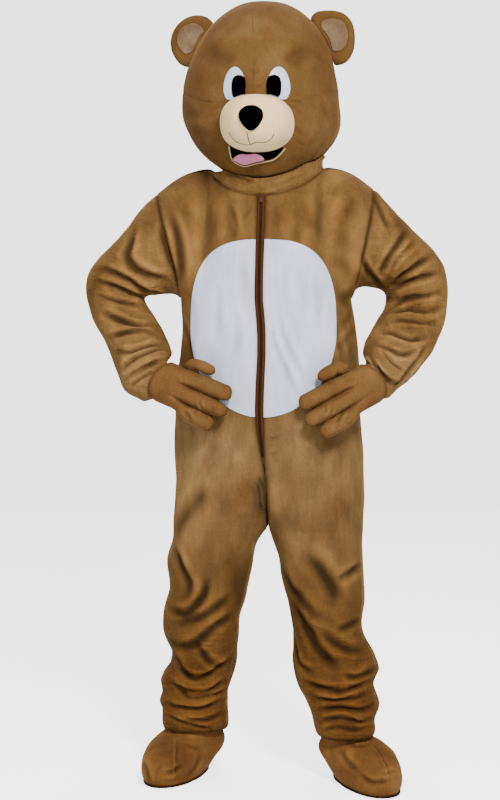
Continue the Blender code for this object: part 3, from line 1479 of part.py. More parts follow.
finishes = {
    "brown": material("brown_plush", "8d6233", 0.75),
    "cream": material("cream_plush", "e0d2ba", 0.75),
    "white": material("pale_plush", "cfd4dc", 0.75),
    "black": material("black_felt", "0b0908", 0.60),
    "pink": material("pink_felt", "cf93ab", 0.70),
    "zip": material("zip_tape", "5a2e1c", 0.65),
    "metal": material("zip_slider", "6b4a35", 0.45, 0.6),
    "sole": material("sole_cloth", "4a3320", 0.85),
}

ground = bpy.data.objects.new("shoulder_line", None)
ground.location = (0.0, 0.0, -SHOULDER_HEIGHT)
costume.objects.link(ground)
head_empty = bpy.data.objects.new("head_middle", None)
head_empty.location = HEAD_CENTRE
head_empty.rotation_euler = (0.0, 0.0, HEAD_TURN)
head_empty.parent = ground
costume.objects.link(head_empty)

make_suit(ground, finishes)
make_collar(ground, finishes)
make_gloves(ground, finishes)
make_boots(ground, finishes)
make_head(head_empty, finishes)
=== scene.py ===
import math

import bmesh
import bpy
import numpy as np
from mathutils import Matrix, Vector, noise
from mathutils.bvhtree import BVHTree
from mathutils.kdtree import KDTree


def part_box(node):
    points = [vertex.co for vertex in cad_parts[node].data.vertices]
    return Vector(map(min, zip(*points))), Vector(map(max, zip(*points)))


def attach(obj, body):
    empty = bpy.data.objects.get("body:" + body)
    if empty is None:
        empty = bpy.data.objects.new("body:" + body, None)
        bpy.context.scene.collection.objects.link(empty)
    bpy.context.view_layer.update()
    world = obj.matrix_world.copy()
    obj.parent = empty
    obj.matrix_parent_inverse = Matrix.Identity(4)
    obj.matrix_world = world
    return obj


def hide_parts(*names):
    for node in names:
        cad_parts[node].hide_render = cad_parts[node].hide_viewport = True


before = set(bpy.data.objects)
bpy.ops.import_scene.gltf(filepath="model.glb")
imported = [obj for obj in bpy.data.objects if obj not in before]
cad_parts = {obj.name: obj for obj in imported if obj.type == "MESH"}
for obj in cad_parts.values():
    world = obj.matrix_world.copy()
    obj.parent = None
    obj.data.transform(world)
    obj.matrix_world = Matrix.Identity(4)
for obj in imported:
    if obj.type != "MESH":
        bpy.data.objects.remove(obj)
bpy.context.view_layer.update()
scene = bpy.context.scene
sides = ("left", "right")

cameraPlace = Vector((-0.029, -4.5, -0.33))  # metres, in the frame of the solids


# lengths in metres and angles in degrees
meshSettings = {"weld": 1e-5, "rimWeld": 0.0022, "trialLevels": 2, "flatTurn": 50, "squareTurn": 60,
                "crispTurn": 48, "softTurn": 55, "stuffedTurn": 70, "patchTurn": 60}
pairReach = 1.1  # of the wall's thickness


def smoothStep(low, high, value):
    # 0 at low and 1 at high, whichever of them is the greater
    share = np.clip((value - low) / (high - low), 0.0, 1.0)
    return share * share * (3.0 - 2.0 * share)


def threeColumns(items, key):
    values = np.empty(len(items) * 3, np.float32)
    items.foreach_get(key, values)
    return values.reshape(-1, 3).astype(float)


def meshPoints(mesh):
    return threeColumns(mesh.vertices, "co")


def meshNormals(mesh):
    return threeColumns(mesh.vertex_normals, "vector")


def setPoints(mesh, points):
    mesh.vertices.foreach_set("co", points.astype(np.float32).ravel())
    mesh.update()


def setPointValues(mesh, name, values):
    made = mesh.attributes.new(name, "FLOAT", "POINT")
    made.data.foreach_set("value", np.asarray(values, np.float32))


def newObject(name, data):
    made = bpy.data.objects.new(name, data)
    scene.collection.objects.link(made)
    return made


def plainMesh(made):
    # the piece as its modifiers leave it, as one plain mesh with no modifiers
    bpy.context.view_layer.update()
    evaluated = made.evaluated_get(bpy.context.evaluated_depsgraph_get())
    mesh = bpy.data.meshes.new_from_object(evaluated)
    made.modifiers.clear()
    old = made.data
    made.data = mesh
    mesh.name = made.name
    bpy.data.meshes.remove(old)
    return made


def smoothedMesh(made, levels):
    smooth = made.modifiers.new("smooth", "SUBSURF")
    smooth.levels = levels
    smooth.render_levels = levels
    smooth.boundary_smooth = "PRESERVE_CORNERS"
    return plainMesh(made)


def subdivided(made, levels):
    # smoothing draws a form in, so its points are first moved out by as much, found on a trial copy
    before = meshPoints(made.data)
    trial = smoothedMesh(newObject("trial", made.data.copy()), meshSettings["trialLevels"])
    after = meshPoints(trial.data)[:len(before)]
    bpy.data.objects.remove(trial)
    setPoints(made.data, 2 * before - after)
    return smoothedMesh(made, levels)


def solidWall(made, thickness, offset=-1.0):
    wall = made.modifiers.new("wall", "SOLIDIFY")
    wall.thickness = thickness
    wall.offset = offset
    wall.use_rim = True
    return plainMesh(made)


def finished(made, surface, softTurn=meshSettings["softTurn"]):
    made.data.materials.clear()
    made.data.materials.append(surface)
    made.data.shade_smooth()
    made.data.set_sharp_from_angle(angle=math.radians(softTurn))
    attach(made, "root")
    return made


def mergedCopy(node):
    bm = bmesh.new()
    bm.from_mesh(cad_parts[node].data)
    bmesh.ops.remove_doubles(bm, verts=bm.verts, dist=meshSettings["weld"])
    bm.normal_update()
    return bm


def meshFrom(bm, name):
    mesh = bpy.data.meshes.new(name)
    bm.to_mesh(mesh)
    bm.free()
    return mesh


def toQuads(bm):
    bmesh.ops.join_triangles(bm, faces=bm.faces,
                             angle_face_threshold=math.radians(meshSettings["flatTurn"]),
                             angle_shape_threshold=math.radians(meshSettings["squareTurn"]))


def pointTree(points):
    tree = KDTree(len(points))
    for index, point in enumerate(points):
        tree.insert(point, index)
    tree.balance()
    return tree


def outerLayer(node, wall):
    # a wall's points stand in pairs, one thickness apart, and its rims are the faces that hold a pair;
    # without them it falls into two layers, and the wider one is outside
    bm = mergedCopy(node)
    tree = pointTree([vert.co for vert in bm.verts])
    pair = {}
    for vert in bm.verts:
        found = [(abs(far - wall), index)
                 for _, index, far in tree.find_range(vert.co, wall * pairReach) if index != vert.index]
        if found:
            pair[vert.index] = min(found)[1]
    rims = {f for f in bm.faces if any(pair.get(v.index) in {w.index for w in f.verts} for v in f.verts)}
    layers, seen = [], set(rims)
    for start in bm.faces:
        if start in seen:
            continue
        layer, waiting = [], [start]
        seen.add(start)
        while waiting:
            face = waiting.pop()
            layer.append(face)
            for edge in face.edges:
                for other in edge.link_faces:
                    if other not in seen:
                        seen.add(other)
                        waiting.append(other)
        layers.append(layer)
    outside = max(layers, key=lambda layer: sum(f.calc_area() for f in layer))
    keep = set(outside)
    bmesh.ops.delete(bm, geom=[f for f in bm.faces if f not in keep], context="FACES")
    return bm


def clothMesh(nodes, wall, name):
    # the outer layers of one or more walls as one cloth, welded where their rims meet
    whole = bmesh.new()
    for node in nodes:
        part = meshFrom(outerLayer(node, wall), "layer")
        whole.from_mesh(part)
        bpy.data.meshes.remove(part)
    if len(nodes) > 1:
        rims = [v for v in whole.verts if v.is_boundary]
        bmesh.ops.remove_doubles(whole, verts=rims, dist=meshSettings["rimWeld"])
    toQuads(whole)
    return newObject(name, meshFrom(whole, name))


def wholeBody(node, name, rimCrease):
    # a stuffed form keeps all its faces; its rims stay fairly crisp
    bm = mergedCopy(node)
    crease = bm.edges.layers.float.new("crease_edge")
    for edge in bm.edges:
        if edge.calc_face_angle(0.0) > math.radians(meshSettings["crispTurn"]):
            edge[crease] = rimCrease
    toQuads(bm)
    return newObject(name, meshFrom(bm, name))


def treeOf(meshes):
    verts, faces = [], []
    for mesh in meshes:
        base = len(verts)
        verts += [v.co.copy() for v in mesh.vertices]
        faces += [tuple(base + i for i in p.vertices) for p in mesh.polygons]
    return BVHTree.FromPolygons(verts, faces)


def solidTree(names):
    return treeOf([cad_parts[name].data for name in names])


def pieceTree(names):
    return treeOf([pieces[name].data for name in names])


def onCloth(tree, x, z, back=False):
    # the cloth's point in line with x, z at mid-depth, seen from the camera or from the same place behind
    eye = cameraPlace.copy()
    if back:
        eye.y = -eye.y
    away = (Vector((x, 0.0, z)) - eye).normalized()
    return tree.ray_cast(eye, away)


def hitRows(hits):
    # the places that were hit, with the way out of the cloth at each
    kept = [hit for hit in hits if hit[0] is not None]
    return (np.array([hit[0] for hit in kept], float).reshape(-1, 3),
            np.array([hit[1] for hit in kept], float).reshape(-1, 3))


def laidPath(tree, path, back=False, step=0.005):
    # points a few millimetres apart on the cloth, along a smooth path through knots of x, z in mm
    knots = [Vector((x / 1000, z / 1000, 0)) for x, z in path]
    knots = [knots[0] * 2 - knots[1]] + knots + [knots[-1] * 2 - knots[-2]]
    hits = []
    for k in range(1, len(knots) - 2):
        a, b, c, d = knots[k - 1:k + 3]
        count = max(2, int((c - b).length / step))
        for i in range(count + (k == len(knots) - 3)):
            t = i / count
            flat = 0.5 * (2 * b + (c - a) * t + (2 * a - 5 * b + 4 * c - d) * t ** 2
                          + (3 * b - a - 3 * c + d) * t ** 3)
            hits.append(onCloth(tree, flat.x, flat.y, back))
    return hitRows(hits)


def smoothedRows(rows, rounds):
    for _ in range(rounds):
        rows[1:-1] = (rows[:-2] + 2 * rows[1:-1] + rows[2:]) / 4
    return rows


# a fold as it is laid: how much narrower and deeper than in its table, the rounds that smooth its line and
# its way out, the share of its length over which its ends die out, and the facing at which it holds
foldLay = {"widen": 0.88, "deepen": 1.25, "placeRounds": 3, "outRounds": 6, "ends": 0.3,
           "facing": (-0.1, 0.45)}
# its section, in half widths: a trough of that steepness, and a ridge on each side of it
foldForm = {"reach": 3.6, "steepness": 1.6, "ridge": 0.70, "lowRidge": 0.34, "ridgeAt": 1.6,
            "ridgeWide": 0.85}


def preparedFolds(tree, table, back=False):
    lay = foldLay
    made = []
    for width, depth, *path in table:
        places, outs = laidPath(tree, path, back)
        if len(places) < 4:
            continue
        smoothedRows(places, lay["placeRounds"])
        smoothedRows(outs, lay["outRounds"])
        outs /= np.linalg.norm(outs, axis=1)[:, None]
        along = np.gradient(places, axis=0)
        along /= np.maximum(np.linalg.norm(along, axis=1)[:, None], 1e-9)
        across = np.cross(outs, along)
        share = np.linspace(0, 1, len(places))
        fade = smoothStep(0, lay["ends"], share) * smoothStep(0, lay["ends"], 1 - share)
        made.append({"width": width * lay["widen"] / 1000, "depth": depth * lay["deepen"] / 1000,
                     "places": places, "outs": outs, "across": across, "fade": fade})
    return made


def foldShift(points, normals, folds):
    # a soft trough with a fuller ridge on one side than on the other; depth keeps how far in or out
    shape = foldForm
    shift = np.zeros_like(points)
    depth = np.zeros(len(points))
    for fold in folds:
        reach = shape["reach"] * fold["width"]
        low = fold["places"].min(0) - reach
        high = fold["places"].max(0) + reach
        near = np.flatnonzero(((points > low) & (points < high)).all(1))
        if not len(near):
            continue
        delta = points[near][:, None, :] - fold["places"][None, :, :]
        nearest = (delta ** 2).sum(2).argmin(1)
        delta = delta[np.arange(len(near)), nearest]
        outs = fold["outs"][nearest]
        far = np.linalg.norm(delta, axis=1)
        side = (delta * fold["across"][nearest]).sum(1)
        side = np.sign(side) * far / fold["width"]
        facing = smoothStep(*foldLay["facing"], (normals[near] * outs).sum(1))
        form = -np.exp(-np.abs(side) ** shape["steepness"])
        for height, place in ((shape["ridge"], shape["ridgeAt"]), (shape["lowRidge"], -shape["ridgeAt"])):
            form += height * np.exp(-((side - place) / shape["ridgeWide"]) ** 2)
        size = fold["depth"] * form * fold["fade"][nearest] * facing
        shift[near] += outs * size[:, None]
        depth[near] += size
    return shift, depth


def seamDip(mesh, points, reach):
    # 1 on an open edge and 0 away from it: a sewn edge pulls in
    uses = {}
    for polygon in mesh.polygons:
        for key in polygon.edge_keys:
            uses[key] = uses.get(key, 0) + 1
    rims = sorted({i for key, count in uses.items() if count == 1 for i in key})
    tree = pointTree(points[rims])
    far = np.array([tree.find(p)[2] for p in points])
    return np.exp(-(far / reach) ** 2)


def softWaves(points, waves):
    # slow uneven swells, stretched along the pile
    height = np.zeros(len(points))
    for seed, size, stretch in waves:
        scaled = points / size
        scaled[:, 2] /= stretch
        scaled += seed
        height += [noise.noise(Vector(p)) for p in scaled]
    return height


def toLinear(hexColour):
    parts = [int(hexColour[i:i + 2], 16) / 255 for i in (0, 2, 4)]
    return [c / 12.92 if c <= 0.04045 else ((c + 0.055) / 1.055) ** 2.4 for c in parts] + [1.0]


def addNode(tree, kind, settings=None, links=None, stops=None):
    # a link starts from a socket, or from a node's first one
    node = tree.nodes.new(kind)
    for name, value in (settings or {}).items():
        if isinstance(name, int) or name in node.inputs:
            node.inputs[name].default_value = value
        else:
            setattr(node, name, value)
    for name, source in (links or {}).items():
        if isinstance(source, bpy.types.Node):
            source = source.outputs[0]
        tree.links.new(source, node.inputs[name])
    if stops:
        node.color_ramp.interpolation = "EASE"
        while len(node.color_ramp.elements) < len(stops):
            node.color_ramp.elements.new(0.5)
        for element, (place, colour) in zip(node.color_ramp.elements, stops):
            element.position = place
            element.color = toLinear(colour)
    return node


def newSurface(name):
    surface = bpy.data.materials.new(name)
    surface.use_nodes = True
    surface.node_tree.nodes.clear()
    return surface, surface.node_tree


# short-pile velboa, knitted polyester brushed downwards: dull in its body, with crushed streaks, a painted
# highlight along every ridge and raised ruck, and painted shade in every crease
def plushSurface(name, look):
    surface, tree = newSurface(name)
    where = addNode(tree, "ShaderNodeTexCoord").outputs["Object"]
    patches, streaks, rucks = [
        addNode(tree, "ShaderNodeTexNoise", dict(detail, Scale=1.0),
                {"Vector": addNode(tree, "ShaderNodeMapping", {"Scale": look[scale]}, {"Vector": where})})
        for scale, detail in (("patchScale", {"Detail": 4.0, "Roughness": 0.62}),
                              ("brushScale", {"Detail": 3.0, "Roughness": 0.6}),
                              ("ruckScale", {"Detail": 3.0, "Roughness": 0.55, "Distortion": 0.6}))]
    tones = addNode(tree, "ShaderNodeValToRGB", links={"Fac": patches},
                    stops=[(0.30, look["dark"]), (0.50, look["body"]), (0.72, look["light"])])
    grain = addNode(tree, "ShaderNodeTexNoise", {"Scale": 1000 / look["grainMm"], "Detail": 2.0},
                    {"Vector": where})
    streak, speck = [addNode(tree, "ShaderNodeMapRange",
                             {"From Min": 0.3, "From Max": 0.7, "To Min": 1 - share, "To Max": 1 + share},
                             {"Value": noisy})
                     for noisy, share in ((streaks, look["streak"]), (grain, look["speck"]))]
    slack = addNode(tree, "ShaderNodeAttribute", {"attribute_name": "slack"})
    centred = addNode(tree, "ShaderNodeMath", {"operation": "SUBTRACT", 1: 0.5},
                      {0: rucks})
    folded = addNode(tree, "ShaderNodeMath", {"operation": "ABSOLUTE"}, {0: centred})
    ruck = addNode(tree, "ShaderNodeMath", {"operation": "MULTIPLY"},
                   {0: folded, 1: slack.outputs["Fac"]})
    crease = addNode(tree, "ShaderNodeAttribute", {"attribute_name": "crease"})
    # painted shade in creases and painted highlight on ridges, from the cloth's crease values
    foldShading = addNode(tree, "ShaderNodeMapRange",
                      {"From Min": -1.0, "From Max": 1.0, "To Min": 1 - look["paintedCreaseShade"],
                       "To Max": 1 + look["paintedRidgeHighlight"]}, {"Value": crease.outputs["Fac"]})
    # painted highlight on the raised rucks, lighter where the ruck bump stands high
    ruckHighlight = addNode(tree, "ShaderNodeMath", {"operation": "MULTIPLY_ADD", 1: look["paintedRuckHighlight"], 2: 1.0},
                     {0: ruck})
    shade = speck
    for factor in (foldShading, streak, ruckHighlight):
        shade = addNode(tree, "ShaderNodeMath", {"operation": "MULTIPLY"}, {0: shade, 1: factor})
    colour = addNode(tree, "ShaderNodeVectorMath", {"operation": "SCALE"}, {0: tones, "Scale": shade})
    if "heights" in look:
        # painted shade: the cloth is tinted by its height over the floor, darker towards the hems where
        # less light falls from above
        height = addNode(tree, "ShaderNodeSeparateXYZ", links={"Vector": where})
        level = addNode(tree, "ShaderNodeMapRange", {"From Min": -1.43, "From Max": 0.0},
                        {"Value": height.outputs["Z"]})
        heightShade = addNode(tree, "ShaderNodeValToRGB", links={"Fac": level},
                       stops=look["heights"])
        colour = addNode(tree, "ShaderNodeVectorMath", {"operation": "MULTIPLY"}, {0: colour, 1: heightShade})
    ruckBump = addNode(tree, "ShaderNodeBump", {"Strength": 1.0, "Distance": look["ruckDepth"]},
                       {"Height": ruck})
    bump = addNode(tree, "ShaderNodeBump", {"Strength": look["bump"], "Distance": 0.0012},
                   {"Height": grain, "Normal": ruckBump})
    shader = addNode(tree, "ShaderNodeBsdfPrincipled",
                     {"Roughness": look["roughness"], "IOR": 1.46, "Specular IOR Level": look["gloss"],
                      "Sheen Weight": look["sheen"], "Sheen Roughness": 0.32,
                      "Sheen Tint": toLinear(look["sheenTint"])},
                     {"Base Color": colour, "Normal": bump})
    addNode(tree, "ShaderNodeOutputMaterial", links={"Surface": shader})
    return surface


# scales are repeats in a metre: patches about 120 mm, streaks 7 mm wide and 50 mm long, rucks 60 by 25 mm
brownLook = {"body": "634b2b", "dark": "513a1d", "light": "755c38", "patchScale": (8, 8, 5),
             "brushScale": (140, 140, 16), "streak": 0.08, "grainMm": 2.6, "speck": 0.14,
             "ruckScale": (17, 17, 40), "ruckDepth": 0.016, "paintedRuckHighlight": 1.4,
             "paintedCreaseShade": 0.72, "paintedRidgeHighlight": 0.55, "bump": 0.45, "roughness": 0.88, "gloss": 0.08,
             "sheen": 0.30, "sheenTint": "c08c4c"}
# the suit's colour carries painted shade by height, darker towards the hems
suitLook = dict(brownLook, heights=[(0.0, "c8ae87"), (0.15, "c8ae87"), (0.27, "c0af91"), (0.42, "ede7df"),
                                    (0.56, "ffffff"), (0.80, "f4ead8"), (1.0, "f3e8d4")])
bootLook = dict(brownLook, body="603f1d", dark="503215", light="6d4b26", paintedRuckHighlight=0.8, ruckDepth=0.006)
headLook = dict(brownLook, body="563c1d", dark="493014", light="624928", patchScale=(9, 9, 6),
                brushScale=(90, 90, 30), streak=0.04, paintedRuckHighlight=0.4, paintedCreaseShade=0.25, paintedRidgeHighlight=0.08,
                sheen=0.24)
gloveLook = dict(brownLook, body="5e4121", dark="503419", light="6d4e2c", brushScale=(160, 160, 60),
                 ruckScale=(45, 45, 45), ruckDepth=0.005, paintedRuckHighlight=0.8)
earLook = dict(headLook, body="66513a", dark="513d2a", light="74604a", patchScale=(26, 26, 26),
               sheenTint="f0d8b4")
creamLook = dict(brownLook, body="dbbc87", dark="d0ae77", light="e1c492", patchScale=(14, 14, 8),
                 streak=0.03, grainMm=2.2, speck=0.04, paintedCreaseShade=0.2, paintedRidgeHighlight=0.05, paintedRuckHighlight=0.0,
                 bump=0.25, gloss=0.2, roughness=0.8, sheenTint="fff6e6")
paleLook = dict(brownLook, body="b7bccd", dark="a9afc2", light="c3c7d5", patchScale=(18, 18, 3.0),
                brushScale=(110, 110, 9), streak=0.05, grainMm=2.4, speck=0.04, paintedCreaseShade=0.34,
                paintedRidgeHighlight=0.16, ruckScale=(20, 20, 8), paintedRuckHighlight=0.35, ruckDepth=0.004, bump=0.3,
                gloss=0.2, roughness=0.75, sheenTint="ffffff")
feltLook = dict(brownLook, body="020101", dark="010101", light="030202", patchScale=(30, 30, 30),
                grainMm=2.0, speck=0.1, paintedRuckHighlight=0.0, bump=0.15, gloss=0.01, roughness=1.0, sheen=0.0,
                sheenTint="6a645c")
pinkLook = dict(brownLook, body="b77391", dark="ab6786", light="c0829d", patchScale=(20, 20, 20),
                streak=0.03, grainMm=2.0, speck=0.04, paintedRuckHighlight=0.0, bump=0.15, roughness=0.8,
                sheenTint="ffe6f0")
soleLook = dict(brownLook, body="271809", dark="1f1207", light="2f1e0f", patchScale=(40, 40, 40),
                grainMm=2.0, speck=0.12, paintedRuckHighlight=0.0, sheen=0.0, roughness=0.9, sheenTint="a08060")

suitPlush = plushSurface("brownVelboaPlush", suitLook)
headPlush = plushSurface("brownVelboaPlushHead", headLook)
creamPlush = plushSurface("creamVelboaPlush", creamLook)
palePlush = plushSurface("paleVelboaPlush", paleLook)
blackFelt = plushSurface("blackPolyesterFelt", feltLook)
pinkFelt = plushSurface("pinkPolyesterFelt", pinkLook)
soleCloth = plushSurface("brownCanvasSole", soleLook)
bootPlush = plushSurface("brownVelboaPlushBoots", bootLook)
glovePlush = plushSurface("brownVelboaPlushGloves", gloveLook)
earPlush = plushSurface("beigeVelboaPlushEars", earLook)
pipingLook = dict(creamLook, body="a98f6c", dark="987e5c", light="b89f7c")
pipingPlush = plushSurface("creamPipingPlush", pipingLook)


# polyester zip tape in a fine twill: ribs a little over a millimetre apart, drawn as coarse as they show
def tapeSurface(name, body, rib):
    surface, tree = newSurface(name)
    where = addNode(tree, "ShaderNodeTexCoord").outputs["Object"]
    ribs = addNode(tree, "ShaderNodeTexWave",
                   {"wave_type": "BANDS", "bands_direction": "DIAGONAL", "Scale": 160.0,
                    "Distortion": 0.5}, {"Vector": where})
    tones = addNode(tree, "ShaderNodeValToRGB", links={"Fac": ribs.outputs["Fac"]},
                    stops=[(0.2, body), (0.8, rib)])
    bump = addNode(tree, "ShaderNodeBump", {"Strength": 0.3, "Distance": 0.0005},
                   {"Height": ribs.outputs["Fac"]})
    shader = addNode(tree, "ShaderNodeBsdfPrincipled", {"Roughness": 0.85, "Specular IOR Level": 0.1},
                     {"Base Color": tones, "Normal": bump})
    addNode(tree, "ShaderNodeOutputMaterial", links={"Surface": shader})
    return surface


# plain finishes: moulded nylon coil, painted zinc slider, twisted polyester thread
def plainSurface(name, colour, roughness, gloss=0.1):
    surface, tree = newSurface(name)
    where = addNode(tree, "ShaderNodeTexCoord").outputs["Object"]
    mottle = addNode(tree, "ShaderNodeTexNoise", {"Scale": 220.0, "Detail": 2.0}, {"Vector": where})
    dull = addNode(tree, "ShaderNodeMapRange", {"To Min": roughness - 0.08, "To Max": roughness + 0.08},
                   {"Value": mottle})
    shader = addNode(tree, "ShaderNodeBsdfPrincipled",
                     {"Base Color": toLinear(colour), "Specular IOR Level": gloss},
                     {"Roughness": dull})
    addNode(tree, "ShaderNodeOutputMaterial", links={"Surface": shader})
    return surface


zipTape = tapeSurface("brownZipTape", "2f1908", "3f260f")
coilNylon = plainSurface("darkBrownNylonCoil", "2a1108", 0.4)
sliderPaint = plainSurface("paintedZincSlider", "38230f", 0.6, gloss=0.08)
darkThread = plainSurface("darkBrownThread", "1d1511", 0.65)
brownThread = plainSurface("brownThread", "4a2c10", 0.65)
tanThread = plainSurface("tanThread", "7a5326", 0.65)
paleThread = plainSurface("paleThread", "aeb4c0", 0.6)
print("materials made")

# wall, wave and seam sizes in metres; a wave is a seed, its size across and its stretch along the pile
suitSettings = {"wall": 0.0022, "levels": 3, "waveHeight": 0.0022, "seamDepth": 0.0020, "paintedSeamShade": 0.7,
                "slack": 0.08, "waves": [(3.1, 0.060, 2.2), (11.7, 0.030, 1.8)]}
collarSettings = {"wall": 0.004, "levels": 3, "waveHeight": 0.0016, "seamDepth": 0.0, "paintedSeamShade": 0.2,
                  "slack": 0.8, "waves": [(4.4, 0.022, 0.8)]}
headSettings = {"wall": 0.008, "levels": 3, "waveHeight": 0.0014, "seamDepth": 0.0006, "paintedSeamShade": 0.22,
                "slack": 0.04, "waves": [(5.3, 0.05, 1.0)]}
gloveSettings = {"wall": 0.0022, "levels": 3, "waveHeight": 0.0010, "seamDepth": 0.0010, "paintedSeamShade": 0.5,
                 "slack": 0.6, "waves": [(7.9, 0.022, 1.0)]}
bootSettings = {"wall": 0.003, "levels": 3, "waveHeight": 0.0020, "seamDepth": 0.0004, "paintedSeamShade": 0.05,
                "slack": 0.5, "waves": [(2.2, 0.04, 1.0)]}
# how far in a seam draws the cloth, and the depths of a fold and of a wave that give the full painted
# shade
panelShade = {"seamReach": 0.006, "foldDepth": 0.005, "waveDepth": 0.006}
# the suit is looser in the sleeves, out from its middle line, and in the legs under the thighs
looser = {"middle": 0.012, "out": (0.20, 0.27), "sleeveFloor": -0.60, "sleeve": 0.7,
          "down": (-0.95, -1.10), "leg": 0.75}

# each fold: half width and depth in mm (a ridge has a negative depth), then points x, z in mm on the
# upright plane through the middle of the body, in line with the fold as seen from the front or the back
frontFolds = [
    # left sleeve
    (13, 7, (-300, -103), (-314, -156), (-324, -192), (-300, -223), (-257, -240), (-209, -252)),
    (11, 4, (-245, -108), (-235, -158), (-221, -204), (-204, -237)),
    (9, 7, (-410, -216), (-372, -223), (-317, -247), (-276, -271), (-204, -280)),
    (8, 5, (-413, -244), (-372, -256), (-324, -273), (-281, -288)),
    (8, 4.5, (-403, -280), (-365, -292), (-317, -304), (-274, -319)),
    (10, 6, (-398, -319), (-348, -340), (-300, -355), (-250, -355)),
    (9, 5.5, (-379, -388), (-329, -372), (-288, -369), (-250, -379)),
    (9, 5.5, (-370, -415), (-317, -420), (-269, -405), (-226, -403)),
    (8, 5.5, (-346, -470), (-312, -441), (-264, -417), (-226, -410)),
    (7, 5, (-338, -492), (-300, -468), (-257, -446), (-218, -439)),
    (6, 4, (-322, -508), (-288, -480), (-252, -465)),
    # right sleeve
    (9, 6, (238, -184), (252, -223), (283, -256), (298, -276)),
    (11, 6.5, (358, -117), (324, -165), (295, -211), (281, -249)),
    (9, 4.5, (386, -151), (348, -170), (319, -204), (298, -244)),
    (10, 6.5, (430, -177), (391, -199), (348, -228), (307, -264)),
    (9, 6, (444, -225), (396, -237), (343, -252), (300, -278)),
    (9, 5, (446, -271), (396, -283), (348, -292), (307, -312)),
    (9, 5, (444, -309), (391, -324), (343, -319), (302, -331)),
    (8, 4, (432, -355), (384, -348), (336, -343), (298, -352)),
    (9, 5.5, (408, -381), (360, -391), (319, -379), (274, -372)),
    (8, 5, (382, -415), (336, -427), (295, -410), (259, -398)),
    (8, 4.5, (406, -391), (372, -439), (336, -487), (302, -518)),
    (7, 5.5, (254, -417), (276, -456), (300, -487), (336, -501)),
    (6, 4.5, (245, -432), (262, -468), (286, -501)),
    (6, 4.5, (281, -412), (312, -444), (348, -470)),
    (12, 3.5, (269, -40), (286, -88), (310, -132)),
    # chest and waist
    (6, 1.8, (-12, -48), (-29, -79), (-48, -112)),
    (7, 1.6, (-84, -60), (-65, -98), (-58, -136)),
    (12, 5, (-226, -67), (-204, -132), (-194, -192), (-194, -266)),
    (18, 2.2, (151, -187), (199, -216), (230, -261)),
    (14, 1.8, (166, -256), (192, -292), (214, -324), (190, -367), (175, -398)),
    (12, 1.8, (178, -420), (211, -376), (228, -328)),
    (11, 2.2, (180, -338), (182, -384), (197, -444)),
    (11, 2.2, (-190, -338), (-180, -381), (-166, -432)),
    (13, 2.0, (-163, -367), (-168, -415), (-158, -468)),
    (22, -2.6, (-170, -20), (-156, -92), (-160, -180), (-168, -270)),
    (20, -2.0, (-112, -34), (-96, -100), (-100, -170)),
    (16, -1.5, (-58, -44), (-50, -110), (-54, -170)),
    (24, -2.8, (196, -14), (170, -84), (160, -170), (168, -250)),
    (20, -2.0, (126, -26), (112, -94), (116, -170)),
    (17, -1.5, (62, -44), (60, -110), (56, -170)),
    (9, 4.4, (12, -330), (34, -412), (70, -489), (94, -545)),
    (10, 3.0, (30, -300), (50, -370), (84, -450), (118, -500)),
    (12, 2.4, (-40, -190), (-46, -260), (-40, -330)),
    (12, 2.6, (-66, -300), (-60, -380), (-70, -450)),
    (13, 2.4, (-110, -230), (-104, -310), (-112, -390)),
    (13, 2.4, (128, -220), (136, -300), (130, -370)),
    (11, 2.4, (60, -190), (56, -250), (62, -310)),
    (14, 1.5, (-96, -204), (-86, -271), (-82, -348)),
    (14, 1.3, (91, -204), (103, -285), (98, -367)),
    (5, 2.4, (5, -636), (24, -628), (48, -621)),
    (5, 2.4, (2, -672), (19, -667), (41, -657)),
    (4, 2.0, (0, -688), (12, -696), (24, -708)),
    (4, 2.6, (-2, -693), (-7, -734), (-2, -787), (10, -832)),
    (22, 4, (0, -703), (-7, -756), (2, -823)),
    # left leg
    (24, 4, (-216, -871), (-178, -804), (-120, -732)),
    (14, 5, (-216, -871), (-197, -924), (-175, -979), (-187, -1022)),
    (12, 8, (-235, -1017), (-206, -1044), (-173, -1041), (-142, -1005), (-130, -952)),
    (13, 5, (-233, -1077), (-180, -1065), (-125, -1044), (-62, -991)),
    (13, 6.5, (-230, -1108), (-173, -1125), (-113, -1077), (-55, -1041)),
    (9, 5, (-218, -1135), (-182, -1185), (-156, -1204)),
    (10, 5, (-166, -1111), (-120, -1166), (-79, -1173)),
    (9, 6, (-216, -1154), (-173, -1200), (-120, -1188), (-55, -1137)),
    (9, 6, (-238, -1200), (-197, -1224), (-137, -1236), (-74, -1195)),
    (7, 5, (-211, -1219), (-173, -1248), (-120, -1243), (-74, -1221)),
    (8, 5.5, (-242, -1260), (-192, -1272), (-137, -1272), (-77, -1243)),
    (7, 4.5, (-202, -1303), (-137, -1303), (-77, -1276)),
    (6, 4.5, (-242, -1284), (-192, -1308), (-137, -1320), (-106, -1329)),
    # right leg
    (18, 5, (43, -919), (67, -979), (103, -1032), (139, -1075)),
    (20, 5, (98, -890), (139, -943), (168, -981), (180, -1034)),
    (12, 6, (252, -916), (211, -948), (175, -969)),
    (11, 4.5, (245, -1053), (211, -1075), (175, -1094)),
    (14, 7, (62, -1003), (103, -1075), (139, -1135), (194, -1190)),
    (14, 5, (101, -1072), (163, -1111), (223, -1135), (274, -1108)),
    (10, 4.5, (77, -1096), (91, -1164), (132, -1200)),
    (9, 5.5, (187, -1188), (226, -1202), (278, -1173)),
    (9, 6.5, (91, -1207), (151, -1226), (204, -1231), (274, -1200)),
    (8, 6, (110, -1245), (175, -1257), (223, -1248), (278, -1224)),
    (8, 5, (118, -1281), (187, -1272), (240, -1279), (283, -1255)),
    (7, 5, (122, -1310), (187, -1296), (235, -1308), (276, -1291)),
    (6, 4, (130, -1334), (180, -1320), (223, -1327), (274, -1315)),
]
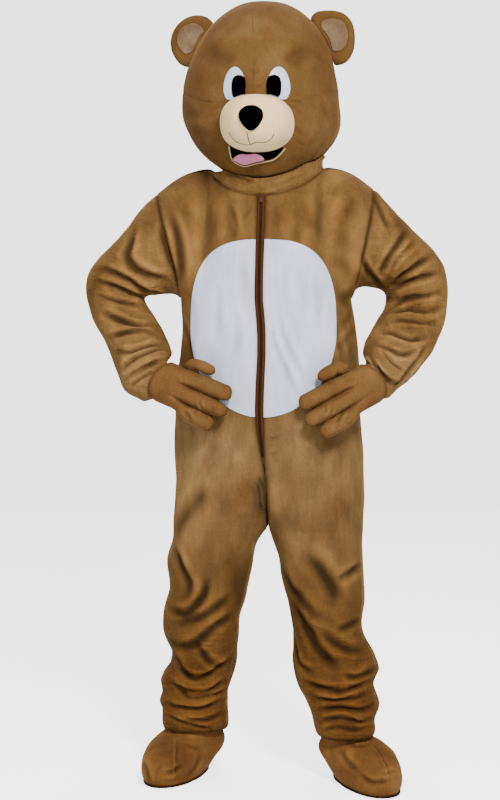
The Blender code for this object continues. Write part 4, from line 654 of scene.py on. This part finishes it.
backFolds = [
    # back, waist and seat
    (16, 3, (-150, -420), (-60, -440), (20, -430)),
    (14, 3, (60, -400), (130, -420), (190, -410)),
    (12, 5, (-195, -140), (-175, -230), (-165, -320)),
    (12, 5, (205, -140), (190, -230), (175, -310)),
    (18, 2.5, (-120, -60), (-60, -110), (0, -130)),
    (18, 2.5, (130, -70), (70, -115), (20, -130)),
    (14, 4, (-120, -780), (-60, -810), (-10, -850)),
    (15, 4, (145, -770), (75, -805), (22, -850)),
    (11, 4.5, (-20, -862), (-90, -900), (-155, -886)),
    (12, 4.5, (42, -858), (110, -896), (190, -880)),
    # knees and shins
    (11, 6, (-205, -960), (-140, -990), (-55, -970)),
    (10, 5.5, (-200, -1010), (-130, -1034), (-65, -1010)),
    (9, 5, (-215, -1096), (-150, -1120), (-85, -1090)),
    (9, 6, (-228, -1165), (-160, -1190), (-90, -1160)),
    (8, 5.5, (-228, -1226), (-160, -1248), (-90, -1222)),
    (7, 5, (-232, -1280), (-160, -1292), (-88, -1276)),
    (11, 6, (76, -980), (150, -1010), (240, -985)),
    (10, 5.5, (86, -1040), (160, -1062), (246, -1030)),
    (9, 5, (95, -1110), (170, -1132), (256, -1100)),
    (8, 5.5, (110, -1180), (190, -1202), (270, -1170)),
    (8, 5.5, (118, -1240), (195, -1252), (270, -1232)),
    (7, 5, (122, -1288), (195, -1302), (270, -1284)),
    # sleeves
    (11, 5.5, (-415, -236), (-350, -262), (-285, -300)),
    (9, 6, (-424, -290), (-350, -312), (-286, -330)),
    (9, 5.5, (-410, -340), (-340, -362), (-270, -358)),
    (9, 5, (-394, -398), (-320, -412), (-255, -390)),
    (8, 5, (-362, -450), (-300, -442), (-240, -428)),
    (7, 4.5, (-334, -492), (-280, -474), (-232, -460)),
    (13, 5, (-335, -126), (-282, -190), (-240, -240)),
    (11, 5.5, (446, -236), (380, -264), (306, -300)),
    (9, 6, (454, -296), (380, -322), (304, -330)),
    (9, 5.5, (444, -350), (370, -372), (296, -364)),
    (9, 5, (424, -400), (350, -422), (276, -400)),
    (8, 5, (392, -452), (330, -452), (262, -434)),
    (7, 4.5, (354, -492), (300, -482), (252, -466)),
    (13, 5, (352, -108), (300, -180), (256, -236)),
]
headFolds = [
    # brow dimples, bridge of the nose, cheeks beside the muzzle, and the darts
    (24, 6.2, (-142, 314), (-104, 288), (-58, 282)),
    (22, 5.8, (46, 280), (84, 288), (124, 314)),
    (11, 2.6, (-110, 322), (-80, 312), (-52, 314)),
    (6, 2.8, (-40, 250), (-17, 253), (10, 250)),
    (5, 3.0, (-36, 228), (-12, 217), (12, 226)),
    (6, 3.0, (68, 172), (84, 160), (104, 146)),
    (5, 2.6, (66, 186), (90, 178), (108, 176)),
    (6, 2.8, (70, 126), (84, 112), (101, 96)),
    (5, 2.4, (78, 92), (90, 80), (104, 74)),
    (6, 2.4, (-92, 176), (-108, 166), (-126, 160)),
    (6, 2.2, (-96, 140), (-112, 128), (-132, 122)),
    (15, 2.6, (136, 180), (152, 160), (158, 134)),
    (17, 2.6, (-188, 162), (-168, 148), (-146, 140)),
    (16, 2.4, (-166, 120), (-148, 106), (-120, 98)),
    (1.6, 1.4, (-22, 386), (-22, 370), (-20, 352)),
    (1.6, 1.2, (-22, 28), (-21, 16), (-19, 4)),
    (14, 2.0, (-150, 60), (-120, 34), (-90, 20)),
    (14, 2.0, (150, 90), (135, 60), (110, 36)),
]
gloveFolds = [
    (4.5, 2.6, (-160, -545), (-156, -556), (-158, -570)),
    (4.5, 2.6, (-146, -532), (-150, -546), (-142, -556)),
    (6, 2.8, (-190, -560), (-176, -572), (-168, -590)),
    (4.5, 2.6, (168, -556), (163, -570), (166, -584)),
    (4.5, 2.6, (150, -545), (156, -560), (148, -570)),
    (6, 2.8, (200, -560), (186, -576), (180, -596)),
]
bootFolds = [
    # the raised seam over the toes, and the slack beside it
    (4, -2.8, (-209, -1340), (-211, -1400), (-213, -1478)),
    (6, 3.2, (-240, -1434), (-214, -1426), (-188, -1408)),
    (6, 2.4, (-236, -1446), (-216, -1450), (-196, -1440)),
    (9, 3.4, (-286, -1400), (-276, -1424), (-268, -1456)),
    (8, 2.8, (-146, -1384), (-160, -1416), (-184, -1444)),
    (7, 2.0, (-190, -1358), (-168, -1368), (-146, -1372)),
    (4, -2.6, (236, -1336), (272, -1374), (296, -1420), (305, -1470)),
    (7, 3.4, (228, -1424), (262, -1452), (318, -1444)),
    (6, 2.4, (282, -1436), (306, -1430), (334, -1420)),
    (8, 3.0, (186, -1370), (206, -1404), (236, -1426)),
    (8, 2.2, (200, -1356), (236, -1366), (262, -1356)),
]

collarFolds = [
    (5, 2.4, (-104, 12), (-70, 6), (-34, -8), (-4, -20)),
    (5, 2.0, (10, -20), (40, -16), (80, 0), (116, 12)),
    (4, 1.6, (-110, 26), (-102, 14), (-98, 4)),
    (4, 1.6, (128, 26), (127, 14), (124, 2)),
]


def onBothSides(*parts):
    return [f"{part}_{side}" for part in parts for side in sides]


suitTree = solidTree(onBothSides("front", "back", "upper_sleeve", "lower_sleeve"))
headNodes = onBothSides("brow", "cheek", "head_back")
gloveNodes = onBothSides("glove_back", "glove_palm", "thumb")
bootNodes = onBothSides("boot_inner", "boot_outer")
collarNodes = onBothSides("collar")

suitCreases = preparedFolds(suitTree, frontFolds) + preparedFolds(suitTree, backFolds, True)
headCreases = preparedFolds(solidTree(headNodes), headFolds)
gloveCreases = preparedFolds(solidTree(gloveNodes), gloveFolds)
bootCreases = preparedFolds(solidTree(bootNodes), bootFolds)
collarCreases = preparedFolds(solidTree(collarNodes), collarFolds)

zipLow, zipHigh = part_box("zip")
zipMiddleX = (zipLow.x + zipHigh.x) / 2


# where the zip holds the fronts flat: beside it, below its end, and from the front to the back
zipHold = {"beside": (0.010, 0.034), "below": (0.0, 0.05), "behind": (-0.05, 0.0)}


def clearOfZip(points):
    # 0 beside the zip, where folds die out, and 1 away from it
    beside = smoothStep(*zipHold["beside"], np.abs(points[:, 0] - zipMiddleX))
    below = smoothStep(*zipHold["below"], zipLow.z - points[:, 2])
    behind = smoothStep(*zipHold["behind"], points[:, 1])
    return np.maximum(np.maximum(beside, below), behind)


# the chin hangs a little lower at the front than the plain solid
chin = {"drop": 0.013, "middle": -0.005, "half": 0.085, "forwards": (0.03, -0.06), "down": (0.030, 0.008)}
# the seam across the head slopes down to the muzzle
slope = {"drop": 0.022, "middle": -0.020, "inwards": (0.185, 0.095), "forwards": (0.0, -0.06),
         "height": 0.205, "half": 0.045}


def headShape(points, normals):
    low = smoothStep(*slope["inwards"], np.abs(points[:, 0] - slope["middle"]))
    low *= smoothStep(*slope["forwards"], points[:, 1])
    low *= slope["drop"] * np.exp(-((points[:, 2] - slope["height"]) / slope["half"]) ** 2)
    slide = np.zeros_like(points)
    slide[:, 2] = -low
    slide -= normals * (slide * normals).sum(1)[:, None]
    moved = points + slide
    sag = chin["drop"] * np.exp(-((moved[:, 0] - chin["middle"]) / chin["half"]) ** 2)
    sag *= smoothStep(*chin["forwards"], moved[:, 1]) * smoothStep(*chin["down"], moved[:, 2])
    moved[:, 2] -= sag
    return moved


# the collar's height over the suit, from what share of it the cloth leans, how far and how close it leans,
# more at the right than elsewhere, how it is crushed at the left, and how far its foot goes down
lean = {"tall": 0.030, "from": 0.35, "reach": 0.08, "clear": 0.0065, "share": 0.7,
        "rightHeights": (0.014, 0.034), "rightStart": (0.080, 0.110), "rightEnd": (0.080, 0.115),
        "rightMore": 0.25, "left": (-0.080, -0.112), "crush": 0.75, "crushedTo": 0.006, "foot": 0.004,
        "join": 0.003}


def leanOnHead(points, normals):
    # the collar's top edge leans against the head from below, and its foot goes down into the neckline
    tree = pieceTree(headNodes)
    moved = points.copy()
    for i, point in enumerate(points):
        share = smoothStep(lean["from"], 1.0, suitTree.find_nearest(Vector(point))[3] / lean["tall"])
        atRight = smoothStep(*lean["rightHeights"], point[2]) * smoothStep(*lean["rightStart"], point[0])
        share = max(share, atRight)
        place, normal, _, far = tree.find_nearest(Vector(point))
        if share > 0 and far < lean["reach"]:
            much = lean["share"] + lean["rightMore"] * smoothStep(*lean["rightEnd"], point[0])
            moved[i] += np.array((place + normal * lean["clear"]) - Vector(point)) * much * share
        crushed = smoothStep(*lean["left"], point[0])
        moved[i, 2] -= (lean["crush"] * crushed * max(0.0, moved[i, 2] - lean["crushedTo"])
                        + lean["foot"] * (1 - share) * (1 - crushed))
    # its two halves meet at the middle
    front = (np.abs(moved[:, 0] - zipMiddleX) < lean["join"]) & (moved[:, 1] < 0)
    moved[front, 0] = zipMiddleX
    return moved


def clothPanel(nodes, name, settings, folds, surface, masked=False, reshape=None):
    made = clothMesh(nodes, settings["wall"], name + "_cloth")
    subdivided(made, settings["levels"])
    mesh = made.data
    if reshape:
        setPoints(mesh, reshape(meshPoints(mesh), meshNormals(mesh)))
    points, normals = meshPoints(mesh), meshNormals(mesh)
    shift, depth = foldShift(points, normals, folds)
    if masked:
        hold = clearOfZip(points)
        shift *= hold[:, None]
        depth *= hold
    dip = seamDip(mesh, points, panelShade["seamReach"])
    height = softWaves(points, settings["waves"]) * settings["waveHeight"] * (1 - dip)
    height -= dip * settings["seamDepth"]
    setPoints(mesh, points + shift + normals * height[:, None])
    # painted shade in folds, wave hollows and seams, and painted highlight on ridges, kept for the cloth's
    # colour
    paintedFoldShade = np.clip(depth / panelShade["foldDepth"] + height / panelShade["waveDepth"], -1.0, 1.0)
    setPointValues(mesh, "crease", paintedFoldShade - settings["paintedSeamShade"] * dip)
    looseness = np.full(len(points), settings["slack"])
    if settings is suitSettings:
        inSleeve = smoothStep(*looser["out"], np.abs(points[:, 0] - looser["middle"]))
        looseness += looser["sleeve"] * inSleeve * (points[:, 2] > looser["sleeveFloor"])
        looseness += looser["leg"] * smoothStep(*looser["down"], points[:, 2])
    setPointValues(mesh, "slack", looseness)
    solidWall(made, settings["wall"])
    finished(made, surface)
    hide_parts(*nodes)
    pieces[name] = made


pieces = {}
for side in sides:
    for part in ("front", "back"):
        name = f"{part}_{side}"
        clothPanel([name], name, suitSettings, suitCreases, suitPlush,
                   part == "front")
    clothPanel([f"upper_sleeve_{side}", f"lower_sleeve_{side}"], f"sleeve_{side}", suitSettings,
               suitCreases, suitPlush)
print("suit panels made")
for nodes, settings, folds, surface in ((headNodes, headSettings, headCreases, headPlush),
                                        (gloveNodes, gloveSettings, gloveCreases, glovePlush),
                                        (bootNodes, bootSettings, bootCreases, bootPlush)):
    for node in nodes:
        clothPanel([node], node, settings, folds, surface,
                   reshape=headShape if node in headNodes else None)
for side in sides:
    clothPanel([f"collar_{side}"], f"collar_{side}", collarSettings, collarCreases, suitPlush,
               reshape=leanOnHead)
print("head, gloves, boot covers and collar made")


earDraw = {"near": 0.03, "fade": (0.0, 0.026)}  # metres from the head


def sewnOn(points, normals):
    # the base of an ear is drawn against the head
    tree = pieceTree(headNodes)
    moved = points.copy()
    for i, point in enumerate(points):
        place, normal, _, far = tree.find_nearest(Vector(point))
        if far < earDraw["near"]:
            moved[i] += (np.array(place) - point) * float(1 - smoothStep(*earDraw["fade"], far))
    return moved


def softBody(node, levels, rimCrease, surface, reshape=None):
    made = wholeBody(node, node + "_soft", rimCrease)
    subdivided(made, levels)
    if reshape:
        setPoints(made.data, reshape(meshPoints(made.data), meshNormals(made.data)))
    finished(made, surface, meshSettings["stuffedTurn"])
    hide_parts(node)
    pieces[node] = made
    return made


for side in sides:
    softBody("ear_" + side, 2, 0.0, headPlush, sewnOn)
    softBody("ear_inner_" + side, 2, 0.5, earPlush, sewnOn)
softBody("muzzle", 2, 0.5, creamPlush)
softBody("nose", 2, 0.4, blackFelt)
softBody("tongue", 2, 0.4, pinkFelt)
pipingDraw = 0.0008  # metres that its stitches draw the piping in
lip = softBody("lip", 1, 0.0, pipingPlush,
               lambda points, normals: points - normals * pipingDraw)
laidPieces = [("mouth", blackFelt, "black_felt", ["cheek_left", "cheek_right"])]
for side in sides:
    laidPieces += [("eye_white_" + side, palePlush, "pale_plush", ["brow_" + side]),
                   ("pupil_" + side, blackFelt, "black_felt", ["eye_white_" + side]),
                   ("sole_" + side, soleCloth, "sole_cloth", ["boot_inner_" + side, "boot_outer_" + side])]
for node, surface, slotName, restsOn in laidPieces:
    made = softBody(node, 2, 0.8, surface)
print("face and soles made")

# half its width and height on each side, the powers of its outline above and below, and its gap to the zip
tummySettings = {"middle": (-0.0015, -0.362), "half": {-1: (0.166, 0.207), 1: (0.173, 0.207)},
                 "upPower": 2.9, "downPower": 2.05, "rows": 96, "columns": 44, "lift": 0.0007,
                 "thickness": 0.0018, "zipGap": 0.0022, "narrowest": 0.003, "zipBand": 0.008}


def tummyEdge(angle):
    s = tummySettings
    power = s["upPower"] if math.sin(angle) > 0 else s["downPower"]
    c, d = math.cos(angle), math.sin(angle)
    half = s["half"][1 if c > 0 else -1]
    return (s["middle"][0] + half[0] * math.copysign(abs(c) ** (2 / power), c),
            s["middle"][1] + half[1] * math.copysign(abs(d) ** (2 / power), d))


zipPoints = meshPoints(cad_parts["zip"].data)
zipPoints = zipPoints[np.argsort(zipPoints[:, 2])]
zipBreaks = np.flatnonzero(np.diff(zipPoints[:, 2]) > tummySettings["zipBand"]) + 1
zipRows = np.array([(band[:, 2].mean(), band[:, 0].min(), band[:, 0].max())
                    for band in np.split(zipPoints, zipBreaks)])


def zipEdge(side, z):
    # the zip's own edge at that height, and the gap
    if z < zipRows[0, 0]:
        return zipRows[0, 1:].mean()
    column, sign = (2, 1) if side == "right" else (1, -1)
    return np.interp(z, zipRows[:, 0], zipRows[:, column]) + sign * tummySettings["zipGap"]


def makeTummy(side):
    s = tummySettings
    sign = 1 if side == "right" else -1
    tree = pieceTree(["front_" + side])
    rows = []
    for i in range(s["rows"] + 1):
        angle = -math.pi / 2 + math.pi * i / s["rows"]
        x, z = tummyEdge(angle if sign > 0 else math.pi - angle)
        near = zipEdge(side, z)
        if (x - near) * sign < s["narrowest"]:
            continue
        row = []
        for j in range(s["columns"] + 1):
            share = j / s["columns"]
            at = near + (x - near) * share
            place, normal, _, _ = tree.ray_cast(Vector((at, -1, z)), Vector((0, 1, 0)))
            if place is None:
                place, normal, _, _ = tree.find_nearest(Vector((at, -0.15, z)))
            if normal.y > 0:
                normal = -normal
            row.append(place + normal * s["lift"])
        rows.append(row)
    verts = [p for row in rows for p in row]
    wide = s["columns"] + 1
    faces = []
    for i in range(len(rows) - 1):
        for j in range(s["columns"]):
            a = i * wide + j
            quad = (a, a + 1, a + wide + 1, a + wide)
            faces.append(quad if sign > 0 else quad[::-1])
    mesh = bpy.data.meshes.new("tummy_" + side + "_cloth")
    mesh.from_pydata(verts, [], faces)
    made = newObject("tummy_" + side + "_cloth", mesh)
    # it takes the shade of the front's folds under it
    front = pieces["front_" + side].data
    below = pointTree(meshPoints(front))
    folded = np.empty(len(front.vertices), np.float32)
    front.attributes["crease"].data.foreach_get("value", folded)
    setPointValues(mesh, "crease", [folded[below.find(p)[1]] for p in verts])
    solidWall(made, s["thickness"], 1.0)
    finished(made, palePlush, meshSettings["patchTurn"])
    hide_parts("tummy_" + side)
    pieces["tummy_" + side] = made


for side in sides:
    makeTummy(side)
print("tummy made")

zipBody = softBody("zip", 2, 0.9, zipTape)
slider = softBody("zip_slider", 1, 0.7, sliderPaint)


def stitchNodes():
    # small rounded stitches set end to end along chains of points
    tree = bpy.data.node_groups.new("stitchRows", "GeometryNodeTree")
    tree.interface.new_socket("Geometry", in_out="INPUT", socket_type="NodeSocketGeometry")
    tree.interface.new_socket("Geometry", in_out="OUTPUT", socket_type="NodeSocketGeometry")
    sockets = {}
    for name, kind in (("Spacing", "Float"), ("Length", "Float"), ("Width", "Float"), ("Uneven", "Float"),
                       ("Seed", "Int"), ("Thread", "Material")):
        made = tree.interface.new_socket(name, in_out="INPUT", socket_type="NodeSocket" + kind)
        sockets[name] = made.identifier
    given = addNode(tree, "NodeGroupInput").outputs
    rows = addNode(tree, "GeometryNodeMeshToCurve", links={"Mesh": given["Geometry"]})
    places = addNode(tree, "GeometryNodeCurveToPoints", {"mode": "LENGTH"},
                     {"Curve": rows, "Length": given["Spacing"]})
    bead = addNode(tree, "GeometryNodeMeshUVSphere", {"Segments": 6, "Rings": 4, "Radius": 0.5})
    form = addNode(tree, "ShaderNodeCombineXYZ",
                   links={"X": given["Width"], "Y": given["Width"], "Z": given["Length"]})
    stitch = addNode(tree, "GeometryNodeTransform",
                     links={"Geometry": bead, "Scale": form})
    least = addNode(tree, "ShaderNodeMath", {"operation": "SUBTRACT", 0: 1.0}, {1: given["Uneven"]})
    size = addNode(tree, "FunctionNodeRandomValue", {"data_type": "FLOAT", 3: 1.0},
                   {2: least, "Seed": given["Seed"]})
    placed = addNode(tree, "GeometryNodeInstanceOnPoints",
                   links={"Points": places, "Instance": stitch,
                          "Rotation": places.outputs["Rotation"], "Scale": size.outputs[1]})
    real = addNode(tree, "GeometryNodeRealizeInstances", links={"Geometry": placed})
    dyed = addNode(tree, "GeometryNodeSetMaterial",
                   links={"Geometry": real, "Material": given["Thread"]})
    addNode(tree, "NodeGroupOutput", links={"Geometry": dyed})
    return tree, sockets


stitchTree, stitchSockets = stitchNodes()


def sewn(name, chains, settings, thread):
    verts, edges = [], []
    for places, outs in chains:
        for i, (place, out) in enumerate(zip(places, outs)):
            if i:
                edges.append((len(verts) - 1, len(verts)))
            verts.append(tuple(place + out * settings["lift"]))
    mesh = bpy.data.meshes.new(name)
    mesh.from_pydata(verts, edges, [])
    made = newObject(name, mesh)
    rows = made.modifiers.new("rows", "NODES")
    rows.node_group = stitchTree
    for key, value in (("Spacing", settings["spacing"]), ("Length", settings["length"]),
                       ("Width", settings["width"]), ("Uneven", 0.2), ("Seed", 7), ("Thread", thread)):
        rows[stitchSockets[key]] = value
    plainMesh(made)
    made.data.shade_smooth()
    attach(made, "root")
    return made


def laidChains(tree, paths, back=False, step=0.002):
    chains = []
    for path in paths:
        places, outs = laidPath(tree, path, back, step)
        if len(places) > 2:
            chains.append((smoothedRows(places, 2), outs))
    return chains


def around(middle, half, count=48):
    # a closed ring of x, z in mm
    turns = [2 * math.pi * i / count for i in range(count + 1)]
    return [(middle[0] + half[0] * math.cos(t), middle[1] + half[1] * math.sin(t)) for t in turns]


# stitch sizes in metres: spacing along the row, length, thickness and height over the cloth
fineRow = {"spacing": 0.0030, "length": 0.0026, "width": 0.0007, "lift": 0.0001}
drawnLine = {"spacing": 0.0016, "length": 0.0030, "width": 0.0022, "lift": 0.0002}
coilRow = {"spacing": 0.0018, "length": 0.0012, "width": 0.0042, "lift": 0.0002}
headRow = dict(drawnLine, width=0.0010)
eyeRow = dict(fineRow, width=0.0006)
# in mm: from the zip's top, off its two ends in all, and the coil and the stitches off its middle
zipRun = {"top": 16, "ends": 34, "steps": 24, "coil": 1.7, "stitches": 6.6}
# the rows inside the edges: parts of the half ring round the tummy, and how far in they stand
rowInside = {"parts": 51.4, "first": 1.2, "count": 49, "tummy": (0.975, 0.98), "eye": 0.86}

zipStep = ((zipHigh.z - zipLow.z) * 1000 - zipRun["ends"]) / zipRun["steps"]
zipDrop = [zipHigh.z * 1000 - zipRun["top"] - k * zipStep for k in range(zipRun["steps"] + 1)]


def zipRow(offset):
    # a path down the zip, that many mm to the side of its middle
    return [(500 * (zipEdge("left", z / 1000) + zipEdge("right", z / 1000)) + offset, z) for z in zipDrop]


def straightRow(tree, path, step=0.002):
    # laid straight back on the cloth, as the zip's own points are
    hits = []
    for (x0, z0), (x1, z1) in zip(path, path[1:]):
        count = max(1, int(math.dist((x0, z0), (x1, z1)) / 1000 / step))
        for i in range(count):
            share = i / count
            spot = Vector(((x0 + (x1 - x0) * share) / 1000, -1, (z0 + (z1 - z0) * share) / 1000))
            hits.append(tree.ray_cast(spot, Vector((0, 1, 0))))
    return hitRows(hits)


zipTree = pieceTree(["zip"])
for name, offset, settings, thread in (("zipCoil", zipRun["coil"], coilRow, coilNylon),
                                       ("zipStitches", zipRun["stitches"], fineRow, brownThread)):
    sewn(name, [straightRow(zipTree, zipRow(away)) for away in (-offset, offset)], settings, thread)

tummyRows = []
middle = tummySettings["middle"]
for side in sides:
    ring = []
    for k in range(rowInside["count"]):
        angle = -math.pi / 2 + math.pi * (k + rowInside["first"]) / rowInside["parts"]
        edge = tummyEdge(angle if side == "right" else math.pi - angle)
        ring.append([1000 * (middle[i] + (edge[i] - middle[i]) * rowInside["tummy"][i]) for i in (0, 1)])
    tummyRows.append(straightRow(pieceTree(["tummy_" + side]), ring))
sewn("tummyStitches", tummyRows, fineRow, paleThread)

# x, z in mm in line with the seams and the drawn lines of the face
faceLines = [
    [(-36, 107), (-33, 92), (-29, 80)],
    [(-79, 107), (-70, 92), (-58, 83), (-42, 78), (-30, 78)],
    [(-28, 78), (-12, 84), (6, 83), (22, 92), (28, 103)],
]
headSeams = [
    [(-25, 400), (-23, 380), (-21, 350)],
    [(-23, 28), (-22, 16), (-20, 4)],
]
bootSeams = [
    [(-209, -1352), (-211, -1400), (-212, -1440), (-213, -1474)],
    [(246, -1350), (270, -1376), (290, -1400), (305, -1455)],
]
collarSeams = [
    [(-92, 9), (-60, -9), (-30, -22), (0, -28), (26, -26), (60, -16), (100, -4), (118, 4)],
    [(-88, -8), (-60, -22), (-30, -34), (0, -40), (26, -38), (60, -29), (100, -16), (116, -8)],
]
for name, names, paths, settings, thread, slotName in (
        ("faceLines", ["muzzle"], faceLines, drawnLine, darkThread, "black_felt"),
        ("headSeams", headNodes, headSeams, headRow, brownThread, "brown_plush"),
        ("bootSeams", bootNodes, bootSeams, fineRow, tanThread, "brown_plush"),
        ("collarStitches", collarNodes, collarSeams, fineRow, brownThread, "brown_plush")):
    sewn(name, laidChains(pieceTree(names), paths), settings, thread)
for side in sides:
    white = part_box("eye_white_" + side)
    middle = [500 * (white[0][k] + white[1][k]) for k in (0, 2)]
    half = [500 * (white[1][k] - white[0][k]) * rowInside["eye"] for k in (0, 2)]
    sewn("eyeStitches_" + side, [straightRow(pieceTree(["eye_white_" + side]), around(middle, half))],
         eyeRow, paleThread)
print("stitches made")

# the floor's half width and its gap under the soles in metres, and the light of the floor and of the room,
# the room's as it is shed on the cloth and as it is seen
studio = {"floorHalf": 6, "floorGap": 0.0005, "floorGlow": 2.2, "roomLight": 0.75, "roomSeen": 2.9}
floorMesh = bpy.data.meshes.new("floor")
floorLevel = min(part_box("sole_" + side)[0].z for side in sides) - studio["floorGap"]
corners = ((-1, -1), (1, -1), (1, 1), (-1, 1))
floorMesh.from_pydata([(x * studio["floorHalf"], y * studio["floorHalf"], floorLevel) for x, y in corners],
                      [], [(0, 1, 2, 3)])
floor = newObject("floor", floorMesh)
floorSurface, tree = newSurface("paleStudioFloor")
# the lit paper looks brighter than the light that it sends up on the cloth
seen = addNode(tree, "ShaderNodeLightPath")
lit = addNode(tree, "ShaderNodeMath", {"operation": "MULTIPLY", 1: studio["floorGlow"]},
              {0: seen.outputs["Is Camera Ray"]})
shader = addNode(tree, "ShaderNodeBsdfPrincipled",
                 {"Base Color": toLinear("fafafa"), "Roughness": 0.9, "Emission Color": (1, 1, 1, 1)},
                 {"Emission Strength": lit})
addNode(tree, "ShaderNodeOutputMaterial", links={"Surface": shader})
floorMesh.materials.append(floorSurface)

world = bpy.data.worlds.new("softStudio")
scene.world = world
world.use_nodes = True
world.node_tree.nodes.clear()
# the room seen behind is brighter than the light that it sheds on the cloth
seen = addNode(world.node_tree, "ShaderNodeLightPath")
strength = addNode(world.node_tree, "ShaderNodeMapRange",
                   {"To Min": studio["roomLight"], "To Max": studio["roomSeen"]},
                   {"Value": seen.outputs["Is Camera Ray"]})
glow = addNode(world.node_tree, "ShaderNodeBackground", {"Color": (1, 1, 1, 1)},
               {"Strength": strength})
addNode(world.node_tree, "ShaderNodeOutputWorld", links={"Surface": glow})


# name, place and aim in metres, width in metres, power in watts
lamps = (
    ("keyLight", (0.7, -3.0, 1.5), (0, 0, -0.25), 0.7, 225),
    ("fillLight", (-2.2, -2.8, 0.6), (0, 0, -0.5), 2.0, 40),
    ("topLight", (0.0, 1.6, 2.4), (0, 0.6, -0.6), 2.4, 90),
)
for name, place, aim, size, power in lamps:
    lamp = bpy.data.lights.new(name, "AREA")
    lamp.shape = "DISK"
    lamp.size = size
    lamp.energy = power
    softBox = newObject(name, lamp)
    softBox.location = place
    softBox.rotation_euler = (Vector(aim) - Vector(place)).to_track_quat("-Z", "Y").to_euler()

cameraSettings = {"lens": 84.375, "sensor_width": 36.0, "shift_y": -0.1068}  # the first two in mm
cameraData = bpy.data.cameras.new("camera")
for key, value in cameraSettings.items():
    setattr(cameraData, key, value)
camera = newObject("camera", cameraData)
camera.location = cameraPlace
camera.rotation_euler = (math.radians(90), 0, 0)
scene.camera = camera

print("scene ready")
